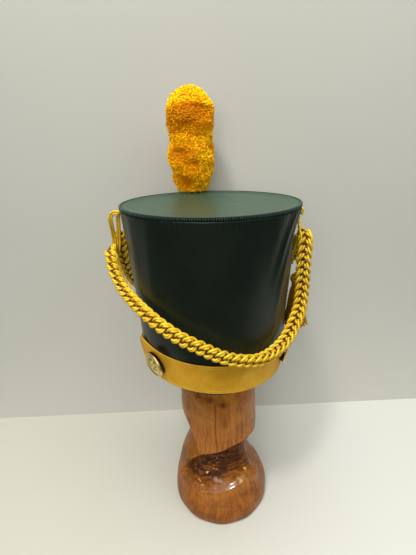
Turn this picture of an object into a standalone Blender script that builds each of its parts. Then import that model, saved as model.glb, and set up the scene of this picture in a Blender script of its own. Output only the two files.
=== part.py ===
"""Shako hat on a carved wooden stand, as separate solids (metres, +Z up).

The hat faces -Y.  The origin is on the floor below the hat's own axis, inside the stand's foot.
Angles round the hat are measured from the middle of its back, positive towards the wearer's right.
"""
import math

import bmesh
import bpy
from mathutils import Matrix, Vector

# ------------------------------------------------------------------ driving dimensions
GAP = 0.0003                 # clearance between pieces that touch

HEM_HEIGHT = 0.270           # lower edge of the band above the floor, before the hem dips
CROWN_HEIGHT = 0.2086        # from that edge to the top of the rim
HEM_RADIUS = 0.0985          # outside of the band at its lower edge
RIM_RADIUS = 0.1119          # outside of the rim welt
HOLLOW = 0.0012              # how far the side is drawn in half way up
HEM_DIP = 0.0093             # the hem is this much lower at the back, higher at the front
HEM_DIP_ANGLE = 27.0         # where it is lowest
RING_STEPS = 48              # flats round the crown, the same on all pieces nested there

CLOTH_WALL = 0.0020          # leathercloth over board
BAND_WALL = 0.0016
BAND_HEIGHT = 0.0385
HEM_SHOWING = 0.0016         # crown edge that shows below the band
RIM_DEPTH = 0.0045           # height of the welt round the top
WELT_WIDTH = 0.0026
PLATE_SAG = 0.0012           # the top is slightly dished

BOSS_ANGLE = 57.5            # each boss, from the middle of the back
BOSS_RADIUS = 0.0172
BOSS_STANDOFF = 0.0038       # shank between the band and the boss
BOSS_PETALS = 8
PETAL_RELIEF = 0.0009

PEAK_HALF_ANGLE = 58.0       # the peak's ends, from the middle of the front
PEAK_DEPTH = 0.046
PEAK_SLOPE = 30.0
PEAK_WALL = 0.0024
PEAK_SEAM = 0.0030           # strip sewn under the crown's edge

BRAID_DIAMETER = 0.018
BRAID_TAPER = 0.020          # length over which a braid's end narrows to its loop
BRAID_END = 0.55             # share of the diameter left at the end
CORD_DIAMETER = 0.0042
KNOT_RADIUS = 0.0040

TASSEL_LOCKS = 14
PLUME_AXIS = 0.0075          # plume axis outside the crown, at the rim
PLUME_TUFTS = 8              # tufts round the brush
PLUME_TUFT = 0.0030          # how far the tufts stand out
SOCKET_RADIUS = 0.0062
SOCKET_BORE = 0.0034
SOCKET_HEIGHT = 0.034
STEM_RADIUS = 0.0028

STAND_TURN = 167.5           # the stand's own front, turned about Z
STAND_TOP = 0.262            # carved part; a plain post carries the crown above it
FOOT_SHIFT = 0.0095          # the stand's axis against the hat's, to the stand's own right
POST_RADIUS = 0.027
PAD_RADIUS = 0.055
PAD_THICKNESS = 0.018

# The back braid, from the left loop round the back to the right loop, by hand:
# angle round the hat, distance from its axis, height above the floor.
BRAID_BACK = [
    (-99.6, 0.1268, 0.4256), (-98.4, 0.1285, 0.4256), (-96.6, 0.1302, 0.4226),
    (-94.2, 0.1286, 0.4168), (-89.8, 0.1271, 0.4024), (-82.0, 0.1202, 0.3823),
    (-69.8, 0.1147, 0.3708), (-54.2, 0.1136, 0.3626), (-42.2, 0.1126, 0.3524),
    (-31.8, 0.1118, 0.3432), (-20.9, 0.1114, 0.3346), (-10.3, 0.1108, 0.3240),
    (0.9, 0.1104, 0.3156), (15.2, 0.1101, 0.3086), (27.4, 0.1102, 0.3082),
    (40.2, 0.1122, 0.3147), (51.6, 0.1146, 0.3283), (60.4, 0.1184, 0.3475),
    (64.8, 0.1192, 0.3780), (66.9, 0.1192, 0.4045), (68.7, 0.1198, 0.4240),
    (71.0, 0.1204, 0.4356), (74.6, 0.1210, 0.4410), (75.8, 0.1210, 0.4410)]
# The front braid, from the left loop round the front to the right loop, in the same terms.
BRAID_FRONT = [
    (-102.0, 0.1240, 0.4258), (-103.2, 0.1238, 0.4258), (-106.0, 0.1222, 0.4240),
    (-109.0, 0.1206, 0.4130), (-112.0, 0.1202, 0.3980), (-116.4, 0.1200, 0.3790),
    (-122.0, 0.1190, 0.3610), (-129.0, 0.1172, 0.3465), (-138.0, 0.1148, 0.3360),
    (-150.0, 0.1124, 0.3298), (-164.0, 0.1112, 0.3268), (180.0, 0.1108, 0.3260),
    (164.0, 0.1110, 0.3270), (150.0, 0.1118, 0.3300), (137.0, 0.1128, 0.3355),
    (124.0, 0.1142, 0.3455), (112.0, 0.1160, 0.3600), (101.5, 0.1180, 0.3785),
    (93.0, 0.1198, 0.3985), (87.5, 0.1208, 0.4170), (84.4, 0.1210, 0.4310),
    (79.4, 0.1210, 0.4410), (78.2, 0.1210, 0.4410)]
# The cord loops from the rim down to the braids' ends and back up, in the same terms.
LOOP_LEFT = [
    (-97.2, 0.1206, 0.4712), (-97.2, 0.1232, 0.4710), (-97.8, 0.1256, 0.4640),
    (-98.8, 0.1252, 0.4520), (-100.4, 0.1250, 0.4400), (-100.8, 0.1250, 0.4330),
    (-100.8, 0.1250, 0.4240), (-100.8, 0.1240, 0.4172), (-100.8, 0.1216, 0.4170),
    (-100.8, 0.1200, 0.4240), (-100.8, 0.1192, 0.4340), (-100.2, 0.1178, 0.4480),
    (-98.2, 0.1163, 0.4624), (-97.7, 0.1162, 0.4652)]
LOOP_RIGHT = [
    (77.2, 0.1177, 0.4588), (77.2, 0.1180, 0.4566), (77.0, 0.1196, 0.4500),
    (77.0, 0.1212, 0.4420), (77.0, 0.1210, 0.4360), (77.0, 0.1190, 0.4328),
    (77.0, 0.1168, 0.4350), (77.0, 0.1152, 0.4420), (77.0, 0.1140, 0.4500),
    (77.0, 0.1132, 0.4566), (77.0, 0.1131, 0.4588)]
# The tassel's own cord, from the right loop down to its head.
TASSEL_CORD = [
    (77.0, 0.1190, 0.4302), (77.0, 0.1190, 0.4280), (77.8, 0.1188, 0.4200),
    (79.2, 0.1187, 0.4080), (80.1, 0.1187, 0.3960), (80.3, 0.1187, 0.3860),
    (80.3, 0.1187, 0.3835)]
# The knots of cord, each the start of a loop: angle, distance, height.
KNOT_LEFT = (-96.5, 0.1165, 0.4700)
KNOT_RIGHT = (77.1, 0.1152, 0.4634)
CORD_STEP = {"braid": 0.0074, "cord": 0.0050}    # spacing of a tube's rings

# Profiles: height, radius.
TASSEL_TOP = (80.3, 0.1187, 0.3831)              # angle, distance, height of the head's top
TASSEL_ROWS = [
    (0.0000, 0.0000), (-0.0015, 0.0046), (-0.0060, 0.0094), (-0.0110, 0.0104),
    (-0.0160, 0.0090), (-0.0195, 0.0070), (-0.0240, 0.0082), (-0.0380, 0.0108),
    (-0.0560, 0.0130), (-0.0780, 0.0146), (-0.0780, 0.0000)]
TASSEL_NECK = -0.0195                            # the skirt's locks start here
PLUME_ROWS = [
    (0.1462, 0.0000), (0.1455, 0.0090), (0.1410, 0.0180), (0.1345, 0.0262),
    (0.1277, 0.0298), (0.1210, 0.0325), (0.1147, 0.0345), (0.1080, 0.0347),
    (0.1013, 0.0340), (0.0945, 0.0325), (0.0878, 0.0308), (0.0809, 0.0292),
    (0.0740, 0.0302), (0.0670, 0.0318), (0.0600, 0.0328), (0.0527, 0.0326),
    (0.0455, 0.0318), (0.0383, 0.0304), (0.0310, 0.0288), (0.0235, 0.0268),
    (0.0160, 0.0244), (0.0086, 0.0222), (0.0020, 0.0200), (0.0010, 0.0110),
    (0.0005, STEM_RADIUS), (-0.0300, STEM_RADIUS), (-0.0300, 0.0000)]

# The carved stand: height, half width and half depth, before the groove is cut.
STAND_ROWS = [
    (STAND_TOP, 0.0000, 0.0000), (STAND_TOP, 0.0360, 0.0340), (0.2560, 0.0420, 0.0395),
    (0.2440, 0.0470, 0.0445), (0.2260, 0.0525, 0.0500), (0.2050, 0.0553, 0.0535),
    (0.1850, 0.0567, 0.0545), (0.1680, 0.0572, 0.0550), (0.1520, 0.0578, 0.0555),
    (0.1390, 0.0585, 0.0560), (0.1280, 0.0592, 0.0565), (0.1170, 0.0600, 0.0575),
    (0.1060, 0.0610, 0.0585), (0.0950, 0.0620, 0.0600), (0.0840, 0.0635, 0.0615),
    (0.0730, 0.0650, 0.0635), (0.0610, 0.0675, 0.0660), (0.0480, 0.0700, 0.0690),
    (0.0330, 0.0732, 0.0728), (0.0160, 0.0752, 0.0756), (0.0050, 0.0748, 0.0758),
    (0.0000, 0.0722, 0.0735), (0.0000, 0.0000, 0.0000)]
STAND_STEPS = 32
GROOVE_HEIGHT = 0.1050       # middle of the groove that winds round the stand
GROOVE_FALL = 0.0215         # it falls this much towards the stand's own right
GROOVE_DEPTH = 0.0175
GROOVE_DEEPER = 0.0075       # more on the stand's right, less on its left
GROOVE_ABOVE = 0.0230        # reach of the groove above and below its middle
GROOVE_HIGHER = 0.0110       # more above it on the right, less on the left
GROOVE_BELOW = 0.0340


# ------------------------------------------------------------------ collections and materials
def fresh_collection(name):
    """A new collection in the scene."""
    collection = bpy.data.collections.new(name)
    bpy.context.scene.collection.children.link(collection)
    return collection


def material(name, color, roughness, metallic=0.0):
    """A Principled material of one colour."""
    made = bpy.data.materials.new(name)
    made.use_nodes = True
    shader = made.node_tree.nodes["Principled BSDF"]
    shader.inputs["Base Color"].default_value = (*color, 1.0)
    shader.inputs["Roughness"].default_value = roughness
    shader.inputs["Metallic"].default_value = metallic
    return made


# ------------------------------------------------------------------ geometry helpers
def round_hat(angle, distance, height):
    """The point at an angle round the hat, a distance from its axis and a height."""
    turn = math.radians(angle)
    return Vector((-distance * math.sin(turn), distance * math.cos(turn), height))


def outside(rise):
    """The crown's outside radius at a rise above the hem, with the side drawn in slightly."""
    share = rise / CROWN_HEIGHT
    foot = HEM_RADIUS - BAND_WALL - GAP
    return foot + (RIM_RADIUS - foot) * share - 4.0 * HOLLOW * share * (1.0 - share)


def dipped(point):
    """Lowers the hem at the back and raises it at the front, with the top kept level."""
    share = (point.z - HEM_HEIGHT) / CROWN_HEIGHT
    low = round_hat(HEM_DIP_ANGLE, 1.0, 0.0)
    dip = HEM_DIP * (1.0 - share) * (point.x * low.x + point.y * low.y) / HEM_RADIUS
    return Vector((point.x, point.y, point.z - dip))


def smooth_route(points, step):
    """Points at about one step along a smooth curve through the given ones.

    The first and the last stretch stay straight, so that the ends are cut square.
    """
    fine = []
    for before, start, end, after in zip(points, points[1:], points[2:], points[3:]):
        for part in range(12):
            t = part / 12
            fine.append(0.5 * (2 * start + (end - before) * t
                               + (2 * before - 5 * start + 4 * end - after) * t * t
                               + (3 * start - before - 3 * end + after) * t * t * t))
    fine.append(points[-2])
    runs = [0.0]
    for first, second in zip(fine, fine[1:]):
        runs.append(runs[-1] + (second - first).length)
    count = max(2, round(runs[-1] / step))
    even = [points[0]]
    place = 0
    for index in range(count + 1):
        target = runs[-1] * index / count
        while place < len(runs) - 2 and runs[place + 1] < target:
            place += 1
        share = (target - runs[place]) / (runs[place + 1] - runs[place])
        even.append(fine[place].lerp(fine[place + 1], share))
    even.append(points[-1])
    return even


def keep(obj, collection, surface, smooth_angle=35.0):
    """Puts an object in its collection, with its material and smooth shading."""
    for old in list(obj.users_collection):
        old.objects.unlink(obj)
    collection.objects.link(obj)
    obj.data.materials.clear()
    obj.data.materials.append(surface)
    if obj.type == "MESH":
        obj.data.shade_smooth()
        obj.data.set_sharp_from_angle(angle=math.radians(smooth_angle))
    return obj


def turned(name, profile, steps, closed=False):
    """A mesh turned about Z from a profile of (radius, height) that runs down its outer side."""
    mesh = bpy.data.meshes.new(name)
    edges = [(index, index + 1) for index in range(len(profile) - 1)]
    if closed:
        edges.append((len(profile) - 1, 0))
    mesh.from_pydata([(radius, 0.0, height) for radius, height in profile], edges, [])
    obj = bpy.data.objects.new(name, mesh)
    bpy.context.scene.collection.objects.link(obj)
    screw = obj.modifiers.new("Turn", "SCREW")
    screw.angle = math.tau
    screw.steps = steps
    screw.render_steps = steps
    screw.use_merge_vertices = True
    screw.merge_threshold = 0.00001
    return apply_modifiers(obj)


def apply_modifiers(obj):
    """Replaces an object's mesh by its evaluated one."""
    graph = bpy.context.evaluated_depsgraph_get()
    graph.update()
    shaped = bpy.data.meshes.new_from_object(obj.evaluated_get(graph))
    old = obj.data
    obj.modifiers.clear()
    obj.data = shaped
    bpy.data.meshes.remove(old)
    shaped.name = obj.name
    return obj


def reshape(obj, move):
    """Moves every vertex of a mesh by a function of its place."""
    for vertex in obj.data.vertices:
        vertex.co = move(vertex.co.copy())
    obj.data.update()
    return obj


def ring_on_crown(name, rows_out, rows_in, collection, surface):
    """A closed ring round the crown from rows of (rise, radius) down outside and up inside."""
    profile = [(radius, HEM_HEIGHT + rise) for rise, radius in rows_out + rows_in]
    ring = turned(name, profile, RING_STEPS, closed=True)
    return keep(reshape(ring, dipped), collection, surface)


def cord(name, route, diameter, step, collection, surface, taper=0.0):
    """A tube along a smooth curve through a route of (angle, distance, height)."""
    points = smooth_route([round_hat(*stop) for stop in route], step)
    runs = [0.0]
    for first, second in zip(points, points[1:]):
        runs.append(runs[-1] + (second - first).length)
    curve = bpy.data.curves.new(name, "CURVE")
    curve.dimensions = "3D"
    curve.bevel_depth = diameter / 2
    curve.bevel_resolution = 2
    curve.use_fill_caps = True
    spline = curve.splines.new("POLY")
    spline.points.add(len(points) - 1)
    for place, point, run in zip(spline.points, points, runs):
        place.co = (*point, 1.0)
        if taper:
            from_end = min(run, runs[-1] - run)
            place.radius = BRAID_END + (1 - BRAID_END) * min(1.0, from_end / taper)
    spline.use_smooth = True
    tube = bpy.data.objects.new(name, curve)
    bpy.context.scene.collection.objects.link(tube)
    return keep(tube, collection, surface)


# ------------------------------------------------------------------ the hat's pieces
def crown_shell(collection, surface):
    """The open side wall of the crown: a cone of leathercloth, hollow from hem to top."""
    top = CROWN_HEIGHT - RIM_DEPTH
    rises = [top, top * 0.8, top * 0.6, top * 0.4, top * 0.2, -HEM_SHOWING]
    out = [(rise, outside(rise)) for rise in rises]
    back_up = [(rise, outside(rise) - CLOTH_WALL) for rise in reversed(rises)]
    return ring_on_crown("crown_shell", out, back_up, collection, surface)


def crown_top(collection, surface):
    """The top plate, inside the welt and resting on the crown's upper edge."""
    radius = RIM_RADIUS - WELT_WIDTH - GAP
    under = HEM_HEIGHT + CROWN_HEIGHT - RIM_DEPTH + GAP
    over = under + CLOTH_WALL
    profile = [(0.0, over - PLATE_SAG), (radius * 0.55, over - PLATE_SAG * 0.7), (radius, over),
               (radius, under), (radius * 0.55, under - PLATE_SAG * 0.7),
               (0.0, under - PLATE_SAG)]
    return keep(reshape(turned("crown_top", profile, RING_STEPS), dipped), collection, surface)


def rim_welt(collection, surface):
    """The sewn welt round the top, on the crown's upper edge."""
    inner = RIM_RADIUS - WELT_WIDTH
    outer = RIM_RADIUS + 0.0004
    foot = CROWN_HEIGHT - RIM_DEPTH + GAP
    shoulder = 0.0009
    out = [(CROWN_HEIGHT, inner + shoulder), (CROWN_HEIGHT, outer - shoulder),
           (CROWN_HEIGHT - shoulder, outer), (foot, outer)]
    back_up = [(foot, inner), (CROWN_HEIGHT - shoulder, inner)]
    return ring_on_crown("rim_welt", out, back_up, collection, surface)


def gold_band(collection, surface):
    """The smooth band round the foot of the crown."""
    rises = [BAND_HEIGHT, BAND_HEIGHT / 2, 0.0]
    out = [(rise, outside(rise) + GAP + BAND_WALL) for rise in rises]
    back_up = [(rise, outside(rise) + GAP) for rise in reversed(rises)]
    return ring_on_crown("gold_band", out, back_up, collection, surface)


def boss(name, angle, collection, surface):
    """A round boss with a raised edge and a rosette, on a short shank against the band."""
    back = BOSS_STANDOFF
    profile = [(0.0, back + 0.0034), (0.0030, back + 0.0032), (0.0070, back + 0.0026),
               (0.0105, back + 0.0020), (0.0132, back + 0.0016), (0.0148, back + 0.0026),
               (0.0162, back + 0.0026), (BOSS_RADIUS, back + 0.0014), (0.0166, back),
               (0.0030, back), (0.0030, 0.0), (0.0, 0.0)]

    def petals(point):
        """Raises the face by a wave of petals that fades at the middle and at the edge."""
        reach = math.hypot(point.x, point.y)
        if point.z > back + 0.0012 and 0.002 < reach < 0.014:
            wave = math.cos(BOSS_PETALS * math.atan2(point.y, point.x))
            point.z += PETAL_RELIEF * wave * math.sin(math.pi * (reach - 0.002) / 0.012)
        return point

    disc = reshape(turned(name, profile, 4 * BOSS_PETALS), petals)
    rise = BAND_HEIGHT / 2
    seat = dipped(round_hat(angle, outside(rise) + GAP + BAND_WALL, HEM_HEIGHT + rise))
    above = dipped(round_hat(angle, outside(BAND_HEIGHT) + GAP + BAND_WALL,
                              HEM_HEIGHT + BAND_HEIGHT))
    across = round_hat(angle + 90.0, 1.0, 0.0)
    outward = across.cross((above - seat).normalized()).normalized()
    if outward.dot(round_hat(angle, 1.0, 0.0)) < 0:
        outward = -outward
    upward = outward.cross(across).normalized()
    if upward.z < 0:
        upward = -upward
    sideways = upward.cross(outward)
    frame = Matrix((sideways, upward, outward)).transposed().to_4x4()
    frame.translation = seat + outward * GAP
    disc.data.transform(frame)
    return keep(disc, collection, surface)


def peak(collection, surface):
    """The peak at the front: a crescent sewn under the crown's edge, sloping down and out."""
    mesh = bpy.data.meshes.new("peak")
    grid = bmesh.new()
    bmesh.ops.create_grid(grid, x_segments=28, y_segments=5, size=0.5)
    foot = -HEM_SHOWING - GAP - PEAK_WALL
    inner = outside(0.0) - CLOTH_WALL
    for vertex in grid.verts:
        along = 2 * vertex.co.x
        over = vertex.co.y + 0.5
        depth = PEAK_DEPTH * (1 - along * along) ** 0.75
        out = PEAK_SEAM * min(1.0, over / 0.2) + depth * max(0.0, (over - 0.2) / 0.8)
        fall = math.tan(math.radians(PEAK_SLOPE)) * depth * max(0.0, (over - 0.2) / 0.8) ** 1.15
        flat = round_hat(180.0 + along * PEAK_HALF_ANGLE, inner + out, HEM_HEIGHT + foot)
        edge = dipped(round_hat(180.0 + along * PEAK_HALF_ANGLE, inner, HEM_HEIGHT + foot))
        vertex.co = Vector((flat.x, flat.y, edge.z - fall))
    grid.to_mesh(mesh)
    grid.free()
    crescent = bpy.data.objects.new("peak", mesh)
    bpy.context.scene.collection.objects.link(crescent)
    wall = crescent.modifiers.new("Wall", "SOLIDIFY")
    wall.thickness = PEAK_WALL
    wall.offset = 1.0 if mesh.polygons[0].normal.z > 0 else -1.0
    return keep(apply_modifiers(crescent), collection, surface)


def knot(name, place, collection, surface):
    """The small knot of cord at the rim, where a loop starts."""
    bpy.ops.mesh.primitive_uv_sphere_add(segments=12, ring_count=8, radius=KNOT_RADIUS)
    ball = bpy.context.object
    ball.name = name
    ball.data.transform(Matrix.Translation(round_hat(*place)))
    return keep(ball, collection, surface)


def tassel(collection, surface):
    """The tassel: a round head, and a skirt whose locks stand out as ribs, all one body."""
    angle, distance, top = TASSEL_TOP
    place = round_hat(angle, distance, top)
    length = TASSEL_NECK - TASSEL_ROWS[-1][0]

    def locks(point):
        """Ribs that grow down the skirt, and a ragged lower end."""
        down = max(0.0, TASSEL_NECK - point.z) / length
        reach = math.hypot(point.x, point.y)
        if down > 0 and reach > 0.001:
            wave = math.cos(TASSEL_LOCKS * math.atan2(point.y, point.x))
            grown = 1 + 0.10 * wave * down ** 0.5
            point = Vector((point.x * grown, point.y * grown, point.z))
        return point + place

    profile = [(radius, height) for height, radius in TASSEL_ROWS]
    body = turned("tassel", profile, TASSEL_LOCKS * 3)
    return keep(reshape(body, locks), collection, surface, smooth_angle=50.0)


def plume(collection, surface):
    """The plume: a tufted brush on a stem, standing at the front of the rim, all one body."""
    foot = dipped(round_hat(180.0, outside(CROWN_HEIGHT) + PLUME_AXIS,
                             HEM_HEIGHT + CROWN_HEIGHT))

    def tufts(point):
        """Staggered tufts round the brush, a little deeper from front to back than wide."""
        reach = math.hypot(point.x, point.y)
        if reach > STEM_RADIUS * 1.5:
            turn = math.atan2(point.y, point.x)
            row = point.z / 0.0092
            wave = math.cos(PLUME_TUFTS * turn + math.pi * round(row))
            wave *= math.cos(math.pi * row) ** 2
            grown = 1 + PLUME_TUFT * wave / reach
            point = Vector((point.x * grown, point.y * grown, point.z))
        return point + foot

    profile = [(radius, height) for height, radius in PLUME_ROWS]
    body = turned("plume", profile, 4 * PLUME_TUFTS)
    return keep(reshape(body, tufts), collection, surface, 60.0)


def plume_socket(collection, surface):
    """The open tube on the front of the crown that the plume's stem stands in."""
    foot = dipped(round_hat(180.0, outside(CROWN_HEIGHT) + PLUME_AXIS,
                             HEM_HEIGHT + CROWN_HEIGHT))
    top = foot.z - 0.0010
    floor = foot.z - SOCKET_HEIGHT
    profile = [(0.0, floor + 0.0025), (SOCKET_BORE, floor + 0.0025), (SOCKET_BORE, top),
               (SOCKET_RADIUS, top), (SOCKET_RADIUS, floor), (0.0, floor)]
    tube = turned("plume_socket", profile, 20)
    tube.data.transform(Matrix.Translation((foot.x, foot.y, 0.0)))
    return keep(tube, collection, surface)


# ------------------------------------------------------------------ the stand
def stand(collection, surface):
    """The carved stand: a thick column with a groove winding round it, on a round foot."""
    profile = [(width, height) for height, width, _ in STAND_ROWS]
    depth_share = {height: depth / width for height, width, depth in STAND_ROWS if width}

    def carve(point):
        """Flattens a row to its depth and cuts the groove, deepest just under its upper lip."""
        reach = math.hypot(point.x, point.y)
        if reach < 1e-6:
            return point
        side = point.x / reach
        near = min(depth_share, key=lambda height: abs(height - point.z))
        middle = GROOVE_HEIGHT - GROOVE_FALL * side
        rise = point.z - middle
        spread = GROOVE_ABOVE + GROOVE_HIGHER * side if rise > 0 else GROOVE_BELOW
        cut = (GROOVE_DEPTH + GROOVE_DEEPER * side) * math.exp(-(rise / spread) ** 2)
        kept = (reach - cut) / reach
        return Vector((point.x * kept, point.y * kept * depth_share[near], point.z))

    body = reshape(turned("stand", profile, STAND_STEPS), carve)
    turn = Matrix.Rotation(math.radians(STAND_TURN), 4, "Z")
    body.data.transform(turn @ Matrix.Translation((FOOT_SHIFT, 0.0, 0.0)))
    return keep(body, collection, surface, 50.0)


def stand_post(collection, surface):
    """The plain post on the carved stand, with the round pad that the crown's top rests on."""
    top = HEM_HEIGHT + CROWN_HEIGHT - RIM_DEPTH - PLATE_SAG
    under = top - PAD_THICKNESS
    profile = [(0.0, top), (PAD_RADIUS - 0.004, top), (PAD_RADIUS, top - 0.004),
               (PAD_RADIUS, under), (POST_RADIUS, under - 0.012),
               (POST_RADIUS, STAND_TOP + GAP), (0.0, STAND_TOP + GAP)]
    return keep(turned("stand_post", profile, 24), collection, surface)


# ------------------------------------------------------------------ build
def main():
    for old in list(bpy.data.objects):
        bpy.data.objects.remove(old, do_unlink=True)
    parts = fresh_collection("shako_hat_on_stand")
    leathercloth = material("black_green_leathercloth", (0.006, 0.012, 0.010), 0.30)
    gold_leather = material("gold_leather", (0.45, 0.27, 0.035), 0.42)
    gold_cord = material("gold_cord", (0.75, 0.45, 0.03), 0.55)
    plume_yarn = material("plume_yarn", (0.85, 0.42, 0.01), 0.70)
    brass = material("brass", (0.72, 0.58, 0.22), 0.30, 1.0)
    wood = material("varnished_wood", (0.26, 0.10, 0.035), 0.28)

    crown_shell(parts, leathercloth)
    crown_top(parts, leathercloth)
    rim_welt(parts, leathercloth)
    peak(parts, leathercloth)
    gold_band(parts, gold_leather)
    for name, angle in (("boss_left", -BOSS_ANGLE), ("boss_right", BOSS_ANGLE)):
        boss(name, angle, parts, brass)
    for name, place in (("knot_left", KNOT_LEFT), ("knot_right", KNOT_RIGHT)):
        knot(name, place, parts, gold_cord)
    for name, route in (("braid_back", BRAID_BACK), ("braid_front", BRAID_FRONT)):
        cord(name, route, BRAID_DIAMETER, CORD_STEP["braid"], parts, gold_cord, BRAID_TAPER)
    for name, route in (("loop_left", LOOP_LEFT), ("loop_right", LOOP_RIGHT),
                        ("tassel_cord", TASSEL_CORD)):
        cord(name, route, CORD_DIAMETER, CORD_STEP["cord"], parts, gold_cord)
    tassel(parts, gold_cord)
    plume(parts, plume_yarn)
    plume_socket(parts, brass)
    stand(parts, wood)
    stand_post(parts, wood)


main()
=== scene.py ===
"""The looks of a shako hat on its carved wooden stand.

Lengths are metres, in the solids' own frame: the origin is on the floor under the hat's axis, the hat
faces -Y, and angles round the hat run from the middle of its back, positive towards the wearer's right.
"""
import math

import bpy
import numpy as np
from mathutils import Matrix


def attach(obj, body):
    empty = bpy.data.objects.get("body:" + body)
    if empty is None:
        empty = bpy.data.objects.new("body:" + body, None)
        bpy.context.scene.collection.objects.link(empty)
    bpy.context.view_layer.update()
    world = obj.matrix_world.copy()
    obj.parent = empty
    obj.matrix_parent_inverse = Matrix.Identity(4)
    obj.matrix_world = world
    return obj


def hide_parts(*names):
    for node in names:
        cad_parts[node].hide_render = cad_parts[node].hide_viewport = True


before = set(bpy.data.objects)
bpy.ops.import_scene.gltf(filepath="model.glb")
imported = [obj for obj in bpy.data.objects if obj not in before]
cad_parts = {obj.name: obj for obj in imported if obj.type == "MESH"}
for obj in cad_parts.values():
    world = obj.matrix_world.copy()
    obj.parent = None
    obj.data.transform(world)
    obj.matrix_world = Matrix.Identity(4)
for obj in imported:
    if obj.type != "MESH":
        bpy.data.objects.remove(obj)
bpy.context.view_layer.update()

# ------------------------------------------------------------------ sizes shared with the solids
MM = 0.001
GOLDEN_ANGLE = 2.39996
HEM_HEIGHT = 0.270
CROWN_HEIGHT = 0.2086
HEM_RADIUS = 0.0985
RIM_RADIUS = 0.1119
HOLLOW = 0.0012
HEM_DIP = 0.0093
HEM_DIP_ANGLE = 27.0
CLOTH_WALL = 0.0020
BAND_WALL = 0.0016
GAP = 0.0003
BAND_HEIGHT = 0.0385
HEM_SHOWING = 0.0016
RIM_DEPTH = 0.0045
WELT_WIDTH = 0.0026
PLATE_SAG = 0.0012
BOSS_ANGLE = 57.5
BOSS_RADIUS = 0.0172
BOSS_STANDOFF = 0.0038
PEAK_HALF_ANGLE = 58.0
PEAK_DEPTH = 0.046
PEAK_SLOPE = 30.0
PEAK_WALL = 0.0024
CORD_DIAMETER = 0.0042
PLUME_AXIS = 0.0075
STAND_TURN = 167.5
STAND_TOP = 0.262
FOOT_SHIFT = 0.0095

# Routes: angle round the hat, distance from its axis, height above the floor.
BRAID_BACK = [
    (-99.6, 0.1268, 0.4228), (-98.4, 0.1285, 0.4226), (-96.6, 0.1300, 0.4196),
    (-94.2, 0.1286, 0.4140), (-89.8, 0.1271, 0.4024), (-82.0, 0.1202, 0.3823),
    (-69.8, 0.1147, 0.3708), (-54.2, 0.1136, 0.3626), (-42.2, 0.1126, 0.3524),
    (-31.8, 0.1118, 0.3432), (-20.9, 0.1114, 0.3346), (-10.3, 0.1108, 0.3240),
    (0.9, 0.1104, 0.3156), (15.2, 0.1101, 0.3086), (27.4, 0.1102, 0.3082),
    (40.2, 0.1122, 0.3147), (51.6, 0.1146, 0.3283), (60.4, 0.1184, 0.3475),
    (64.8, 0.1192, 0.3780), (66.9, 0.1192, 0.4045), (68.7, 0.1196, 0.4200),
    (71.0, 0.1200, 0.4300), (74.6, 0.1197, 0.4350), (75.8, 0.1197, 0.4350)]
BRAID_FRONT = [
    (-107.0, 0.1206, 0.4395), (-107.8, 0.1205, 0.4370), (-108.6, 0.1205, 0.4300),
    (-109.8, 0.1205, 0.4150), (-112.0, 0.1202, 0.3980), (-116.4, 0.1200, 0.3790),
    (-122.0, 0.1190, 0.3610), (-129.0, 0.1172, 0.3465), (-138.0, 0.1148, 0.3360),
    (-150.0, 0.1124, 0.3298), (-164.0, 0.1112, 0.3268), (180.0, 0.1108, 0.3260),
    (164.0, 0.1110, 0.3270), (150.0, 0.1118, 0.3300), (137.0, 0.1128, 0.3355),
    (124.0, 0.1142, 0.3455), (112.0, 0.1160, 0.3600), (101.5, 0.1180, 0.3785),
    (93.0, 0.1198, 0.3970), (87.5, 0.1206, 0.4130), (84.4, 0.1204, 0.4260),
    (79.4, 0.1197, 0.4350), (78.2, 0.1197, 0.4350)]
LOOP_LEFT = [
    (-96.8, 0.1130, 0.4656), (-97.0, 0.1158, 0.4682), (-97.2, 0.1196, 0.4686),
    (-97.5, 0.1234, 0.4662), (-97.8, 0.1254, 0.4610),
    (-98.8, 0.1252, 0.4520), (-100.4, 0.1250, 0.4400), (-100.8, 0.1250, 0.4330),
    (-100.8, 0.1250, 0.4240), (-100.8, 0.1240, 0.4172), (-100.8, 0.1216, 0.4170),
    (-100.8, 0.1200, 0.4240), (-100.8, 0.1188, 0.4340), (-100.0, 0.1174, 0.4480),
    (-98.2, 0.1160, 0.4624), (-97.7, 0.1152, 0.4660)]
LOOP_RIGHT = [
    (76.0, 0.1136, 0.4640), (78.0, 0.1129, 0.4590), (75.8, 0.1126, 0.4514),
    (72.6, 0.1127, 0.4440), (70.4, 0.1136, 0.4382), (69.0, 0.1143, 0.4335),
    (69.5, 0.1160, 0.4285), (72.0, 0.1180, 0.4258), (75.0, 0.1178, 0.4280),
    (77.0, 0.1160, 0.4340), (78.0, 0.1142, 0.4420), (78.0, 0.1131, 0.4520),
    (77.5, 0.1130, 0.4580)]
TASSEL_CORD = [
    (77.0, 0.1190, 0.4262), (77.0, 0.1190, 0.4245), (77.8, 0.1188, 0.4185),
    (79.2, 0.1187, 0.4080), (80.1, 0.1187, 0.3940), (80.3, 0.1187, 0.3824),
    (80.3, 0.1187, 0.3799)]
KNOT_LEFT = (-96.3, 0.1136, 0.4692)
KNOT_RIGHT = (75.0, 0.1149, 0.4648)
TASSEL_TOP = (80.3, 0.1187, 0.3795)

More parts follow.
